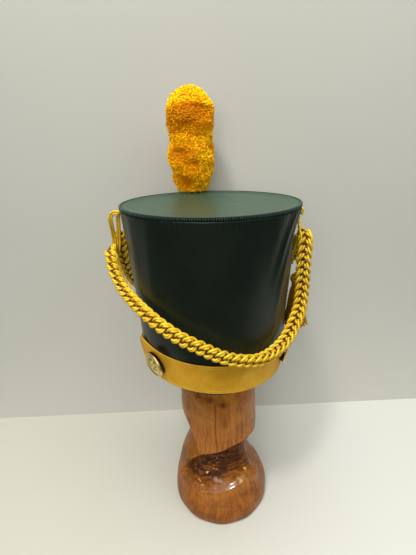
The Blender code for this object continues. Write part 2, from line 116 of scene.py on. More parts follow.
# The plume's brush: height above the rim, radius.
PLUME_ROWS = [
    (0.1452, 0.0000), (0.1444, 0.0070), (0.1425, 0.0128), (0.1381, 0.0198), (0.1316, 0.0262),
    (0.1250, 0.0314), (0.1184, 0.0352), (0.1118, 0.0372), (0.1052, 0.0376), (0.0985, 0.0374),
    (0.0917, 0.0350), (0.0850, 0.0324), (0.0782, 0.0322), (0.0711, 0.0324), (0.0640, 0.0350),
    (0.0568, 0.0356), (0.0497, 0.0364), (0.0425, 0.0356), (0.0353, 0.0336), (0.0281, 0.0328),
    (0.0207, 0.0310), (0.0132, 0.0276), (0.0057, 0.0240), (0.0020, 0.0215), (0.0010, 0.0130)]

# The carved stand: height, half width and half depth, before the groove is cut.
STAND_ROWS = [
    (STAND_TOP, 0.0360, 0.0340), (0.2560, 0.0420, 0.0395), (0.2440, 0.0470, 0.0445),
    (0.2260, 0.0525, 0.0500), (0.2050, 0.0553, 0.0535), (0.1850, 0.0567, 0.0545),
    (0.1680, 0.0572, 0.0550), (0.1520, 0.0578, 0.0555), (0.1390, 0.0585, 0.0560),
    (0.1280, 0.0592, 0.0565), (0.1170, 0.0600, 0.0575), (0.1060, 0.0610, 0.0585),
    (0.0950, 0.0620, 0.0600), (0.0840, 0.0635, 0.0615), (0.0730, 0.0650, 0.0635),
    (0.0610, 0.0675, 0.0660), (0.0480, 0.0700, 0.0690), (0.0330, 0.0732, 0.0728),
    (0.0160, 0.0752, 0.0756), (0.0050, 0.0748, 0.0758), (0.0000, 0.0722, 0.0735)]

# The carving in front, by the angle round the stand: the upper mass's lip, the hollow's lower end, and
# the angle at which the hollow's left side starts at each height.
STAND_LIP = [(-180, 0.0900), (-149, 0.0950), (-136, 0.1020), (-130, 0.1100), (-116, 0.1160),
             (-103, 0.1215), (-89.5, 0.1262), (-77, 0.1322), (-66, 0.1345), (-54, 0.1355),
             (-48, 0.1375), (-30, 0.1360), (0, 0.1250), (180, 0.1250)]
STAND_LEDGE = [(-180, 0.0520), (-149, 0.0500), (-129, 0.0520), (-110, 0.0545), (-98, 0.0565),
               (-84, 0.0600), (-70, 0.0650), (-55, 0.0680), (-31, 0.0650), (0, 0.0600)]
STAND_FLANK = [(0.0, -152.0), (0.060, -152.0), (0.088, -138.0), (0.103, -120.0), (0.112, -124.0),
               (0.148, -135.0), (0.159, -141.0), (0.185, -160.0), (0.262, -170.0)]

# Dark smudges on the stand: angle, height, half width in degrees.
STAND_SMUDGES = [(-123, 0.217, 8.0), (-104, 0.214, 9.0), (-85, 0.207, 7.0), (-140, 0.222, 9.0),
                 (-121, 0.026, 8.0), (-60, 0.044, 12.0), (60, 0.215, 9.0), (120, 0.190, 8.0)]

# Hollows among the plume's yarn, sunk into its skin and darkened with painted shade: angle round it,
# height, their half sizes, and how dark.
PLUME_SHADED_HOLLOWS = [
    (92.0, 0.114, 32.0, 0.0062, 1.00), (78.0, 0.101, 42.0, 0.0130, 0.80),
    (52.0, 0.056, 28.0, 0.0085, 0.95), (88.0, 0.041, 24.0, 0.0065, 0.70),
    (60.0, 0.017, 26.0, 0.0095, 0.95), (112.0, 0.008, 18.0, 0.0060, 0.80),
    (150.0, 0.060, 24.0, 0.0090, 0.60), (180.0, 0.108, 30.0, 0.0100, 0.80),
    (215.0, 0.060, 28.0, 0.0080, 0.85), (250.0, 0.112, 36.0, 0.0090, 0.80),
    (262.0, 0.032, 26.0, 0.0080, 0.80), (300.0, 0.070, 30.0, 0.0090, 0.90),
    (335.0, 0.108, 26.0, 0.0090, 0.80), (350.0, 0.030, 24.0, 0.0090, 0.70),
    (18.0, 0.092, 20.0, 0.0080, 0.50)]

# One stitch of the chain braid, in millimetres: its pitch along the braid, the cord's thickness and its
# length in a stitch, half the width and height that it may fill, the number of its points, and the
# number of turns in which it is pulled tight.
STITCH_PITCH = 8.7
STITCH_CORD = 3.1
STITCH_LENGTH = 60.0
STITCH_ENVELOPE = (9.0, 8.75)
STITCH_POINTS = 72
STITCH_TURNS = 4000
# The stops that the doubled cord is laid through, before it is pulled tight: a share of the
# pitch along, then millimetres across and out.
STITCH_STOPS = [
    (-0.15, -1.8, -4.2), (0.00, -1.9, 0.0), (0.28, -2.3, 4.4), (0.80, -4.4, 5.4), (1.35, -6.6, 2.6),
    (1.60, -5.6, -1.4), (1.45, 0.0, -2.6), (1.60, 5.6, -1.4), (1.35, 6.6, 2.6), (0.80, 4.4, 5.4),
    (0.28, 2.3, 4.4), (0.00, 1.9, 0.0), (0.08, 2.0, -4.4), (0.45, 0.2, -7.0)]
# How long a stitch is along the braid, by the share of the run.
STITCH_PITCHES = [(0.0, 9.6), (0.35, 9.5), (0.55, 9.5), (0.70, 10.2), (0.84, 10.6), (0.95, 9.2),
                  (1.0, 8.8)]

# How far the back braid is turned about its own run: share of the run from the right, degrees.
BRAID_ROLL = [(0.0, -6.0), (0.22, -8.0), (0.30, -10.0), (0.38, -18.0), (0.46, -30.0), (0.60, -46.0),
              (0.80, -92.0), (1.0, -116.0)]

# Folds in the crown's cloth: angle at the rim, angle lower down, how fast the one passes to the other,
# half width in degrees, height in millimetres, and the depths where it starts and ends, rim 0 to hem 1.
FOLDS = [
    (66.0, 62.0, 0.30, 16.0, -2.6, 0.05, 0.36), (64.0, 58.0, 0.30, 14.0, -1.2, 0.05, 0.85),
    (60.0, 33.0, 0.20, 3.4, 1.7, -0.1, 0.75), (50.0, 27.0, 0.20, 2.6, 1.2, 0.0, 0.45),
    (70.0, 50.0, 0.25, 4.5, -1.2, 0.0, 0.60), (41.0, 22.0, 0.25, 4.5, -0.9, 0.0, 0.50),
    (-66.0, -70.0, 0.20, 4.0, 0.8, 0.02, 0.50), (-78.0, -80.0, 0.20, 5.0, -0.8, 0.0, 0.60),
    (-54.0, -62.0, 0.25, 5.0, -0.5, 0.0, 0.55), (5.0, -8.0, 0.40, 12.0, 0.4, 0.1, 0.90),
    (120.0, 134.0, 0.20, 5.0, 0.8, 0.0, 0.60), (-130.0, -120.0, 0.25, 6.0, 0.8, 0.0, 0.70),
    (165.0, 172.0, 0.30, 7.0, -0.6, 0.0, 0.70), (-158.0, -150.0, 0.25, 5.0, 0.5, 0.0, 0.50)]


# ------------------------------------------------------------------ arrays and meshes
def unit(vectors):
    """Vectors at length one."""
    return vectors / np.maximum(np.linalg.norm(vectors, axis=-1, keepdims=True), 1e-12)


def square_to(side, way):
    """The part of side that is square to a way of length one, at length one."""
    return unit(side - (side * way).sum(-1, keepdims=True) * way)


def bell(x, middle, half):
    """A bell curve: 1 at its middle, and 1/e at the half width."""
    return np.exp(-((x - middle) / half) ** 2)


def wrapped(degrees):
    """An angle as one between -180 and 180."""
    return (degrees + 180.0) % 360.0 - 180.0


def points_of(x, y, z):
    """Points from three coordinates that spread over each other's rows and columns."""
    return np.stack(np.broadcast_arrays(x, y, z), axis=-1)


def around_axis(reach, turn, height):
    """Points at a reach and a turn in radians round the upright axis, at a height."""
    return points_of(reach * np.cos(turn), reach * np.sin(turn), height)


def smooth(edge0, edge1, x):
    """The smooth step 3t^2 - 2t^3 as x goes from one edge to the other."""
    t = np.clip((x - edge0) / (edge1 - edge0), 0.0, 1.0)
    return t * t * (3 - 2 * t)


def hat_point(angle, distance, height):
    """Points at an angle in degrees round the hat, a distance from its axis and a height."""
    turn = np.radians(angle)
    return points_of(-distance * np.sin(turn), distance * np.cos(turn), height)


def dipped(points):
    """The hem lowered at the back and raised at the front in proportion to its depth under the rim."""
    share = (points[..., 2] - HEM_HEIGHT) / CROWN_HEIGHT
    low = hat_point(HEM_DIP_ANGLE, 1.0, 0.0)
    fall = HEM_DIP * (1 - share) * (points[..., :2] @ low[:2]) / HEM_RADIUS
    return np.concatenate([points[..., :2], (points[..., 2] - fall)[..., None]], axis=-1)


def crown_radius(rise):
    """The crown's outside radius: a cone drawn in by a parabola of the rise."""
    share = rise / CROWN_HEIGHT
    foot = HEM_RADIUS - BAND_WALL - GAP
    return foot + (RIM_RADIUS - foot) * share - 4.0 * HOLLOW * share * (1.0 - share)


def spline(before, start, end, after, t):
    """The cubic start + (end - before)t/2 + ..., from start to end and shaped by both neighbours."""
    return 0.5 * (2 * start + (end - before) * t
                  + (2 * before - 5 * start + 4 * end - after) * t ** 2
                  + (3 * start - before - 3 * end + after) * t ** 3)


def route_line(stops, step=0.002):
    """Even points on a smooth curve through a route, with the end stretches straight."""
    stops = np.array(stops)
    points = hat_point(stops[:, 0], stops[:, 1], stops[:, 2])
    t = (np.arange(24) / 24)[None, :, None]
    fine = spline(*(points[k:len(points) - 3 + k, None] for k in range(4)), t)
    fine = np.concatenate([points[:1], fine.reshape(-1, 3), points[-2:]])
    _, run = along(fine)
    count = max(12, int(round(run[-1] / step)))
    return at_run(fine, run, np.linspace(0.0, run[-1], count))


def along(path):
    """Unit tangents of a path, and the run from its start to each point."""
    run = np.concatenate([[0.0], np.cumsum(np.linalg.norm(np.diff(path, axis=0), axis=1))])
    return unit(np.gradient(path, axis=0)), run


def at_run(values, run, wanted):
    """Rows of values read off at the wanted runs, each column by straight interpolation."""
    return np.stack([np.interp(wanted, run, column) for column in values.T], axis=-1)


def surface(points, ring=False, loop=False, caps=False, size=(1.0, 1.0), flip=False):
    """Points, faces and UVs of one or more grids of rows and columns.

    ring closes the columns and loop the rows; caps close the first and last row with one face each.
    UVs run over the size, across the columns and down the rows.
    """
    rows, columns = points.shape[-3:-1]
    count = points.size // (rows * columns * 3)
    down = rows if loop else rows - 1
    across = columns if ring else columns - 1
    i, j = np.meshgrid(np.arange(down), np.arange(across), indexing="ij")
    corners = [(i, j), (i, j + 1), (i + 1, j + 1), (i + 1, j)]
    if flip:
        corners = corners[::-1]
    quads = np.stack([(a % rows) * columns + b % columns for a, b in corners], axis=-1)
    uvs = np.stack([np.stack([b / across * size[0], a / down * size[1]], axis=-1)
                    for a, b in corners], axis=-2)
    shift = (np.arange(count) * rows * columns)[:, None, None]
    faces = [((quads.reshape(-1, 4)[None] + shift).reshape(-1, 4),
              np.tile(uvs.reshape(-1, 4, 2), (count, 1, 1)))]
    if caps:
        first = np.arange(columns)[None, :: 1 if flip else -1] + shift[:, 0]
        last = np.arange(columns)[None, :: -1 if flip else 1] + shift[:, 0] + (rows - 1) * columns
        faces += [(row, np.zeros(row.shape + (2,))) for row in (first, last)]
    return points.reshape(-1, 3), faces


def piece(name, grids, finish, replaces=(), shade=None):
    """One named mesh from several grids, with its finish, riding on the part.

    Shade holds a number for each point, 1 in the darkest places, which the finish reads: painted shade on
    most pieces, with the smudges too on the stand.
    """
    places = np.concatenate([grid[0] for grid in grids])
    starts = np.cumsum([0] + [len(grid[0]) for grid in grids])
    corners, totals, uvs = [], [], []
    for start, (_, faces) in zip(starts, grids):
        for face, uv in faces:
            corners.append((face + start).ravel())
            totals.append(np.full(len(face), face.shape[1]))
            uvs.append(uv.reshape(-1, 2))
    corners, totals, uvs = (np.concatenate(part) for part in (corners, totals, uvs))
    mesh = bpy.data.meshes.new(name)
    mesh.vertices.add(len(places))
    mesh.vertices.foreach_set("co", places.astype(np.float32).ravel())
    mesh.loops.add(len(corners))
    mesh.loops.foreach_set("vertex_index", corners.astype(np.int32))
    mesh.polygons.add(len(totals))
    mesh.polygons.foreach_set("loop_start", (np.cumsum(totals) - totals).astype(np.int32))
    mesh.polygons.foreach_set("use_smooth", np.ones(len(totals), dtype=bool))
    mesh.update(calc_edges=True)
    mesh.uv_layers.new(name="UVMap").data.foreach_set("uv", uvs.astype(np.float32).ravel())
    if shade is not None:
        values = np.clip(np.concatenate([np.ravel(part) for part in shade]), 0.0, 1.0)
        mesh.attributes.new("shade", "FLOAT", "POINT").data.foreach_set("value", values)
    mesh.materials.append(finish)
    made = bpy.data.objects.new(name, mesh)
    bpy.context.scene.collection.objects.link(made)
    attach(made, "root")
    if replaces:
        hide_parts(*replaces)
    return made


def rings_round(path, side, other, reach, sides):
    """Rings of so many sides round every point of a path, or of many paths at once, at a reach."""
    turn = np.linspace(0, math.tau, sides, endpoint=False)[:, None]
    return path[..., None, :] + reach * (np.cos(turn) * side[..., None, :]
                                         + np.sin(turn) * other[..., None, :])


def tube(path, radius, sides, sideways, lobes=0, lay=0.0, depth=0.0):
    """Rings of a round cord along a path, each at a radius; sideways sets where a ring starts.

    With lobes the section is r(1 - depth(1 - |cos(lobes(a - twist)/2)|)), and it twists once in a lay.
    """
    tangent, run = along(path)
    first = square_to(sideways, tangent)
    turn = np.linspace(0, math.tau, sides, endpoint=False)[None, :]
    reach = np.broadcast_to(np.asarray(radius, dtype=float).reshape(-1, 1), (len(path), sides))
    if lobes:
        twist = (math.tau * run / lay)[:, None]
        reach = reach * (1 - depth * (1 - np.abs(np.cos(lobes * (turn - twist) / 2))))
    return rings_round(path, first, np.cross(tangent, first), reach[..., None], sides)


# ------------------------------------------------------------------ finishes
class Value:
    """One socket of a finish, so that sums of values add Math nodes."""

    def __init__(self, finish, socket):
        self.finish = finish
        self.socket = socket

    def math(self, operation, *others):
        """The value after a Math node, which takes it first and the others after it."""
        return self.finish.node("Math", {"operation": operation}, dict(enumerate((self,) + others)))

    def __add__(self, other):
        return self.math("ADD", other)

    def __sub__(self, other):
        return self.math("SUBTRACT", other)

    def __rsub__(self, other):
        return self.finish.node("Math", {"operation": "SUBTRACT"}, {0: other, 1: self})

    def __mul__(self, other):
        return self.math("MULTIPLY", other)

    __radd__ = __add__
    __rmul__ = __mul__

    def between(self, low, high):
        """0 at low, 1 at high, and a smooth step between them."""
        return self.finish.node("MapRange", {"interpolation_type": "SMOOTHSTEP"},
                                {"Value": self, "From Min": low, "From Max": high})


class Finish:
    """A material on the Principled shader, with one method that adds any other node."""

    def __init__(self, name, **plain):
        self.material = bpy.data.materials.new(name)
        self.material.use_nodes = True
        self.tree = self.material.node_tree
        self.shader = self.tree.nodes["Principled BSDF"]
        self.fill(self.shader, {key.replace("_", " "): value for key, value in plain.items()})

    def fill(self, node, inputs):
        """Gives a node's inputs their numbers, colours or links."""
        for name, value in inputs.items():
            socket = node.inputs[name]
            if isinstance(value, Value):
                self.tree.links.new(value.socket, socket)
            elif isinstance(value, tuple) and len(value) == 3 and socket.type == "RGBA":
                socket.default_value = (*value, 1.0)
            else:
                socket.default_value = value

    def node(self, kind, settings, inputs, output=0):
        """Adds a node and gives back one of its outputs."""
        made = self.tree.nodes.new("ShaderNode" + kind)
        for name, value in settings.items():
            setattr(made, name, value)
        self.fill(made, inputs)
        return Value(self, made.outputs[output])

    def mapped(self, where, scale=(1.0, 1.0, 1.0), turn=(0.0, 0.0, 0.0)):
        """A place scaled and turned."""
        return self.node("Mapping", {}, {"Vector": where, "Scale": scale, "Rotation": turn})

    def place(self, scale=(1.0, 1.0, 1.0), uv=False):
        """Object coordinates, or the piece's UV map, scaled."""
        return self.mapped(self.node("TexCoord", {}, {}, "UV" if uv else "Object"), scale)

    def noise(self, where, scale, detail, rough, twist=0.0):
        return self.node("TexNoise", {}, {"Vector": where, "Scale": scale, "Detail": detail,
                                          "Roughness": rough, "Distortion": twist})

    def cells(self, where, scale):
        return self.node("TexVoronoi", {}, {"Vector": where, "Scale": scale}, "Distance")

    def wave(self, where, scale, twist):
        return self.node("TexWave", {}, {"Vector": where, "Scale": scale, "Distortion": twist}, "Fac")

    def mix(self, share, first, second):
        """From the first colour to the second."""
        return self.node("Mix", {"data_type": "RGBA"}, {0: share, 6: first, 7: second}, 2)

    def part(self, where, axis):
        """One coordinate of a place."""
        return self.node("SeparateXYZ", {}, {"Vector": where}, axis)

    def shade(self):
        """How dark a point is, from its mesh's shade: painted shade, and on the stand smudges too."""
        return self.node("Attribute", {"attribute_name": "shade"}, {}, "Fac")

    def look(self, color, roughness=None, height=None, depth=0.0002, strength=1.0, **more):
        """Sets what varies over the surface."""
        self.fill(self.shader, {"Base Color": color})
        if roughness is not None:
            self.fill(self.shader, {"Roughness": roughness})
        if height is not None:
            bump = self.node("Bump", {}, {"Height": height, "Distance": depth, "Strength": strength})
            self.fill(self.shader, {"Normal": bump})
        self.fill(self.shader, {key.replace("_", " "): value for key, value in more.items()})
        return self.material


def leathercloth(name, dark, light, gloss, coat, shine=0.45):
    """Black-green coated cloth: a fine pebbled grain, faint scuffs and a satin coat."""
    made = Finish(name, IOR=1.5, Coat_Weight=coat, Coat_Roughness=0.22, Specular_IOR_Level=shine,
                  Specular_Tint=(0.78, 1.0, 0.86, 1.0))
    where = made.place()
    grain = made.cells(where, 1100.0)
    soft = made.noise(where, 38.0, 4.0, 0.6)
    fine = made.noise(where, 420.0, 3.0, 0.6)
    scuff = made.noise(where, 15.0, 6.0, 0.7, 0.6).between(0.45, 0.75)
    return made.look(made.mix(soft * 0.6 + fine * 0.4, dark, light), gloss + soft * 0.10 + scuff * 0.06,
                     grain * 0.5 + fine * 0.6 + soft * 0.8, 0.00012, 0.55)


def gold_leather():
    """Smooth mustard-gold leather, slightly cloudy, with fine creases across the band."""
    made = Finish("gold_leather", IOR=1.45, Metallic=0.35, Specular_Tint=(1.0, 0.75, 0.25, 1.0))
    where = made.place()
    cloud = made.noise(where, 26.0, 5.0, 0.65, 0.4)
    crease = made.noise(made.place((60.0, 60.0, 260.0)), 1.0, 3.0, 0.6)
    grain = made.cells(where, 1500.0)
    rub = made.noise(where, 90.0, 4.0, 0.6).between(0.55, 0.8)
    color = made.mix(cloud.between(0.30, 0.72), (0.58, 0.285, 0.014), (0.76, 0.43, 0.038))
    color = made.mix(rub * 0.25, color, (0.86, 0.57, 0.10))
    return made.look(color, 0.42 + cloud * 0.12, grain * 0.25 + crease * 0.5 + cloud, 0.00015, 0.5)


def gold_cord(name, dark, light, twist=260.0):
    """Soft shiny gold cord: fine fibres that wind round it, lighter where they catch the light, and painted
    shade, dark brown, where its mesh's shade is high.
    """
    made = Finish(name, IOR=1.45, Metallic=0.25, Specular_Tint=(1.0, 0.78, 0.22, 1.0))
    ply = made.wave(made.mapped(made.place(uv=True), turn=(0.0, 0.0, 0.7)), twist, 1.2)
    where = made.place()
    fibre = made.noise(where, 900.0, 3.0, 0.7)
    wear = made.noise(where, 60.0, 4.0, 0.6)
    color = made.mix((ply * 0.16 + fibre * 0.42 + wear * 0.46).between(0.25, 0.80), dark, light)
    # Painted shade: dark brown where the mesh's shade marks a crevice or a side in shadow.
    color = made.mix(made.shade() * 0.85, color, (0.15, 0.042, 0.005))
    return made.look(color, 0.36 + fibre * 0.22, ply * 0.20 + fibre * 0.6, 0.00020, 0.7)


def plume_yarn():
    """Bright curled yarn: painted shade makes it orange and darker in its hollows and towards each loop's
    foot, and painted light makes it lemon at its tips and on the cap.
    """
    made = Finish("plume_yarn", IOR=1.5, Specular_Tint=(1.0, 0.80, 0.20, 1.0), Specular_IOR_Level=0.3,
                  Sheen_Weight=1.0, Sheen_Roughness=0.5, Sheen_Tint=(1.0, 0.58, 0.01, 1.0))
    where = made.place()
    tip = made.part(made.place(uv=True), "Y")
    patch = made.noise(where, 55.0, 4.0, 0.65)
    fleck = made.noise(where, 700.0, 2.0, 0.6)
    # The mesh's shade is painted shade among the yarn.
    deep = made.shade()
    # Painted light: lemon where the shade is low, as on the lit cap, orange where it is higher.
    bright = made.mix(deep.between(0.02, 0.30), (1.0, 0.74, 0.003), (0.92, 0.36, 0.001))
    # Painted shade: orange towards each loop's foot, lighter towards its tip.
    color = made.mix((tip * 0.75 + fleck * 0.5).between(0.10, 0.70), (0.95, 0.285, 0.0006), bright)
    color = made.mix(patch.between(0.50, 0.74) * 0.30, color, (0.95, 0.27, 0.0005))
    # Painted shade: dark orange in the plume's hollows.
    color = made.mix(deep * (0.95 - tip * 0.25), color, (0.52, 0.110, 0.0002))
    return made.look(color, 0.24 + fleck * 0.25, fleck, 0.0001, 0.4)


def brass():
    """Pale soft-polished brass, duller where it tarnishes, and painted near black, as painted shade, where
    the mesh's shade marks it.
    """
    made = Finish("pale_brass", Metallic=1.0)
    where = made.place()
    tarnish = made.noise(where, 160.0, 5.0, 0.65).between(0.45, 0.80)
    scratch = made.noise(made.place((900.0, 900.0, 90.0)), 1.0, 2.0, 0.5)
    color = made.mix(tarnish, (0.82, 0.64, 0.22), (0.46, 0.34, 0.10))
    # Painted shade: near black where the mesh's shade is 1, on the boss's edge and back.
    color = made.mix(made.shade(), color, (0.035, 0.018, 0.006))
    return made.look(color, 0.26 + tarnish * 0.22 + scratch * 0.10, scratch + tarnish, 0.00008, 0.5)


def thread():
    """Dark waxed sewing thread."""
    made = Finish("dark_thread", IOR=1.5, Specular_IOR_Level=0.2)
    fibre = made.noise(made.place(), 1600.0, 3.0, 0.6)
    return made.look(made.mix(fibre, (0.008, 0.015, 0.013), (0.085, 0.125, 0.110)),
                     0.35 + fibre * 0.2, fibre, 0.0001, 0.6)


def varnished_wood(name="varnished_wood", crack=None):
    """Carved red-brown wood under gloss varnish: long fine grain, dark flames, and chips in its hollows.

    The foot is darker, and the varnish is thickest on the ledge over it.  The crack is a dark line up
    the wood, given by its place round it and its two heights, as shares.  Painted shade darkens the
    hollow and the groove, and smudges darken the wood, where the mesh's shade marks them.
    """
    made = Finish(name, IOR=1.5, Coat_Roughness=0.08, Coat_IOR=1.5, Specular_IOR_Level=0.14)
    where = made.place()
    dark = made.shade()
    warp = made.node("VectorMath", {"operation": "SCALE"},
                     {0: made.node("TexNoise", {}, {"Vector": where, "Scale": 13.0, "Detail": 3.0},
                                   "Color"), "Scale": 0.022})
    bent = made.node("VectorMath", {"operation": "ADD"}, {0: where, 1: warp})
    streak = made.noise(made.mapped(bent, (300.0, 300.0, 9.0)), 1.0, 5.0, 0.65)
    fine = made.noise(made.place((1100.0, 1100.0, 34.0)), 1.0, 3.0, 0.6)
    cloud = made.noise(where, 17.0, 4.0, 0.6, 0.8)
    swirl = made.noise(made.mapped(bent, (34.0, 34.0, 150.0), (0.45, 0.25, 0.0)), 1.0, 5.0, 0.62, 2.2)
    swirl = swirl.between(0.62, 0.40)
    flame = made.noise(made.mapped(bent, (30.0, 30.0, 80.0), (0.3, 0.35, 0.0)), 1.0, 5.0, 0.7, 1.2)
    color = made.mix((streak * 0.55 + fine * 0.45).between(0.33, 0.68), (0.165, 0.045, 0.004),
                     (0.41, 0.145, 0.015))
    color = made.mix(cloud.between(0.44, 0.70) * 0.65, color, (0.46, 0.180, 0.026))
    color = made.mix(flame.between(0.56, 0.70) * 0.55, color, (0.090, 0.020, 0.004))
    # Painted shade in the hollow and the groove, and dark smudges, from the mesh's shade.
    color = made.mix(dark * (0.58 + swirl * 0.40), color, (0.030, 0.007, 0.003))
    chip = made.noise(made.place((75.0, 75.0, 160.0)), 1.0, 2.0, 0.4, 0.6).between(0.686, 0.704)
    color = made.mix(chip * dark, color, (0.60, 0.38, 0.13))
    relief = streak * 0.5 - fine * 0.3 - dark * swirl * 0.5
    level = made.part(where, "Z")
    ledge = level.between(0.046, 0.052) * level.between(0.080, 0.070)
    ledge = ledge * made.part(made.node("NewGeometry", {}, {}, "Normal"), "Z").between(0.25, 0.60)
    ledge = ledge * made.noise(where, 62.0, 2.0, 0.4).between(0.48, 0.58)
    figure = (streak * 0.45 + flame * 0.55).between(0.40, 0.62)
    foot = made.mix(figure, (0.105, 0.024, 0.001), (0.285, 0.082, 0.003))
    color = made.mix(level.between(0.075, 0.030) * 0.75, color, foot)
    if crack:
        skin = made.place(uv=True)
        apart = made.part(skin, "X") - crack[0] + (flame - 0.5) * 0.012
        line = apart.math("ABSOLUTE").between(0.0022, 0.0008)
        height = made.part(skin, "Y")
        line = line * height.between(crack[1], crack[1] + 0.04) * height.between(crack[2], crack[2] - 0.04)
        color = made.mix(line * 0.8, color, (0.035, 0.010, 0.004))
        relief = relief - line
    return made.look(color, 0.30 + streak * 0.18, relief, 0.00020, 0.55,
                     Coat_Weight=0.20 - fine * 0.1 + ledge * 0.65)


# ------------------------------------------------------------------ camera, lights and stage
def camera_and_lights():
    """The photograph's camera, fitted to the solids; a soft key from above left and a dim room."""
    turn = Matrix.Rotation(math.radians(STAND_TURN), 4, "Z")
    data = bpy.data.cameras.new("camera")
    data.sensor_width = 36.0
    data.lens = 22.70
    camera = bpy.data.objects.new("camera", data)
    bpy.context.scene.collection.objects.link(camera)
    camera.matrix_world = (turn @ Matrix.Translation((-0.005, -0.445, 0.5413))
                           @ Matrix.Rotation(math.pi / 2 - 0.355, 4, "X")
                           @ Matrix.Rotation(-0.0231, 4, "Z"))
    bpy.context.scene.camera = camera
    for name, place, aim, size, power, color in [
            ("key", (-0.56, -1.00, 2.50), (0.0, 0.0, 0.35), 0.34, 30.0, (1.0, 0.98, 0.93)),
            ("ceiling", (0.0, -0.55, 2.10), (0.0, 0.0, 0.3), 1.70, 36.0, (1.0, 0.99, 0.95)),
            ("front", (-0.30, -1.70, 0.95), (0.0, 0.0, 0.3), 1.20, 16.0, (1.0, 0.99, 0.95)),
            ("side", (1.10, -0.60, 1.50), (0.0, 0.0, 0.3), 0.80, 5.5, (1.0, 0.99, 0.96))]:
        lamp = bpy.data.lights.new(name, "AREA")
        lamp.shape = "DISK"
        lamp.size = size
        lamp.energy = power
        lamp.color = color
        shown = bpy.data.objects.new(name, lamp)
        bpy.context.scene.collection.objects.link(shown)
        place, aim = Matrix.Translation(place), Matrix.Translation(aim)
        away = (place.translation - aim.translation).to_track_quat("Z", "Y").to_matrix().to_4x4()
        shown.matrix_world = turn @ place @ away
    world = bpy.data.worlds.new("room")
    bpy.context.scene.world = world
    world.use_nodes = True
    tree = world.node_tree
    rise = tree.nodes.new("ShaderNodeSeparateXYZ")
    ramp = tree.nodes.new("ShaderNodeValToRGB")
    tree.links.new(tree.nodes.new("ShaderNodeTexCoord").outputs["Generated"], rise.inputs[0])
    tree.links.new(rise.outputs["Z"], ramp.inputs[0])
    tree.links.new(ramp.outputs["Color"], tree.nodes["Background"].inputs["Color"])
    ramp.color_ramp.elements[0].position = 0.10
    ramp.color_ramp.elements[0].color = (0.035, 0.035, 0.033, 1.0)
    ramp.color_ramp.elements[1].position = 0.75
    ramp.color_ramp.elements[1].color = (0.80, 0.80, 0.76, 1.0)
    tree.nodes["Background"].inputs["Strength"].default_value = 0.6
    bpy.context.scene.view_settings.view_transform = "Standard"


def stage():
    """A pale floor, and a grey wall behind the hat that can't be seen from its other side."""
    turn = math.radians(STAND_TURN)
    spin = np.array([[math.cos(turn), -math.sin(turn)], [math.sin(turn), math.cos(turn)]])
    ends = np.array([[-1.6, 0.125], [1.6, 0.239]]) @ spin.T
    table = np.array([[-0.56, -0.30], [0.80, -0.30], [0.80, 0.2105], [-0.56, 0.1621]]) @ spin.T
    floor = Finish("pale_table", Roughness=0.35)
    cloud = floor.noise(floor.place(), 3.0, 4.0, 0.6)
    # Painted shade: the floor is darker and yellower towards +X.
    left = floor.part(floor.place(), "X").between(-0.30, 0.30)
    top = floor.mix(left, (0.515, 0.520, 0.490), (0.430, 0.426, 0.362))
    floor.look(floor.mix(cloud * 0.3, top, (0.50, 0.50, 0.45)), 0.38 + cloud * 0.2)
    wall = Finish("grey_wall", Roughness=0.75)
    soft = wall.noise(wall.place(), 2.2, 3.0, 0.5)
    # Painted light: the wall is lighter towards its foot.
    low = wall.part(wall.place(), "Z").between(0.45, -0.05)
    paint = wall.mix(soft, (0.370, 0.371, 0.334), (0.412, 0.416, 0.375))
    wall.look(wall.mix(low, paint, (0.475, 0.475, 0.435)))
    clear = wall.node("BsdfTransparent", {}, {})
    behind = wall.node("NewGeometry", {}, {}, "Backfacing")
    shown = wall.node("MixShader", {}, {0: behind, 1: Value(wall, wall.shader.outputs[0]), 2: clear})
    wall.fill(wall.tree.nodes["Material Output"], {"Surface": shown})
    top = [(*place, 0.0) for place in table]
    side = [(*ends[0], -0.4), (*ends[1], -0.4), (*ends[1], 1.5), (*ends[0], 1.5)]
    for name, corners, finish in [("table", top, floor), ("wall", side, wall)]:
        mesh = bpy.data.meshes.new(name)
        mesh.from_pydata(corners, [], [(0, 1, 2, 3)])
        mesh.materials.append(finish.material)
        made = bpy.data.objects.new(name, mesh)
        bpy.context.scene.collection.objects.link(made)


# ------------------------------------------------------------------ cords
def along_chain(points, steps):
    """Each point's neighbour that many steps on, in an endless row of the same stitch."""
    moved = np.roll(points, -steps, axis=-2)
    wrapping = slice(-steps, None) if steps > 0 else slice(None, -steps)
    moved[..., wrapping, 0] += STITCH_PITCH * np.sign(steps)
    return moved


def laid_stitch():
    """Both cords of one stitch side by side, on a smooth line through the listed stops.

    They lie level in the passes under the braid, and elsewhere one of them is nearer the stitch's eye.
    """
    stops = np.array(STITCH_STOPS) * (STITCH_PITCH, 1.0, 1.0)
    near = [along_chain(stops, steps) if steps else stops for steps in (-1, 0, 1, 2)]
    line = spline(*(points[:, None] for points in near), (np.arange(20) / 20)[:, None]).reshape(-1, 3)
    line = np.concatenate([line, line[:1] + (STITCH_PITCH, 0.0, 0.0)])
    _, run = along(line)
    middle = at_run(line, run, np.linspace(0.0, run[-1], STITCH_POINTS, endpoint=False))
    tangent = unit(along_chain(middle, 1) - along_chain(middle, -1))
    under, eye = -3.5, (0.9 * STITCH_PITCH, 0.0, 1.0)
    side = np.where(middle[:, 2:] < under, (0.0, 1.0, 0.0), eye - middle)
    for _ in range(6):
        side = square_to(side, tangent)
        side = np.roll(side, 1, 0) + np.roll(side, -1, 0) + side
    side = square_to(side, tangent)
    return np.stack([middle - side * STITCH_CORD / 2, middle + side * STITCH_CORD / 2])


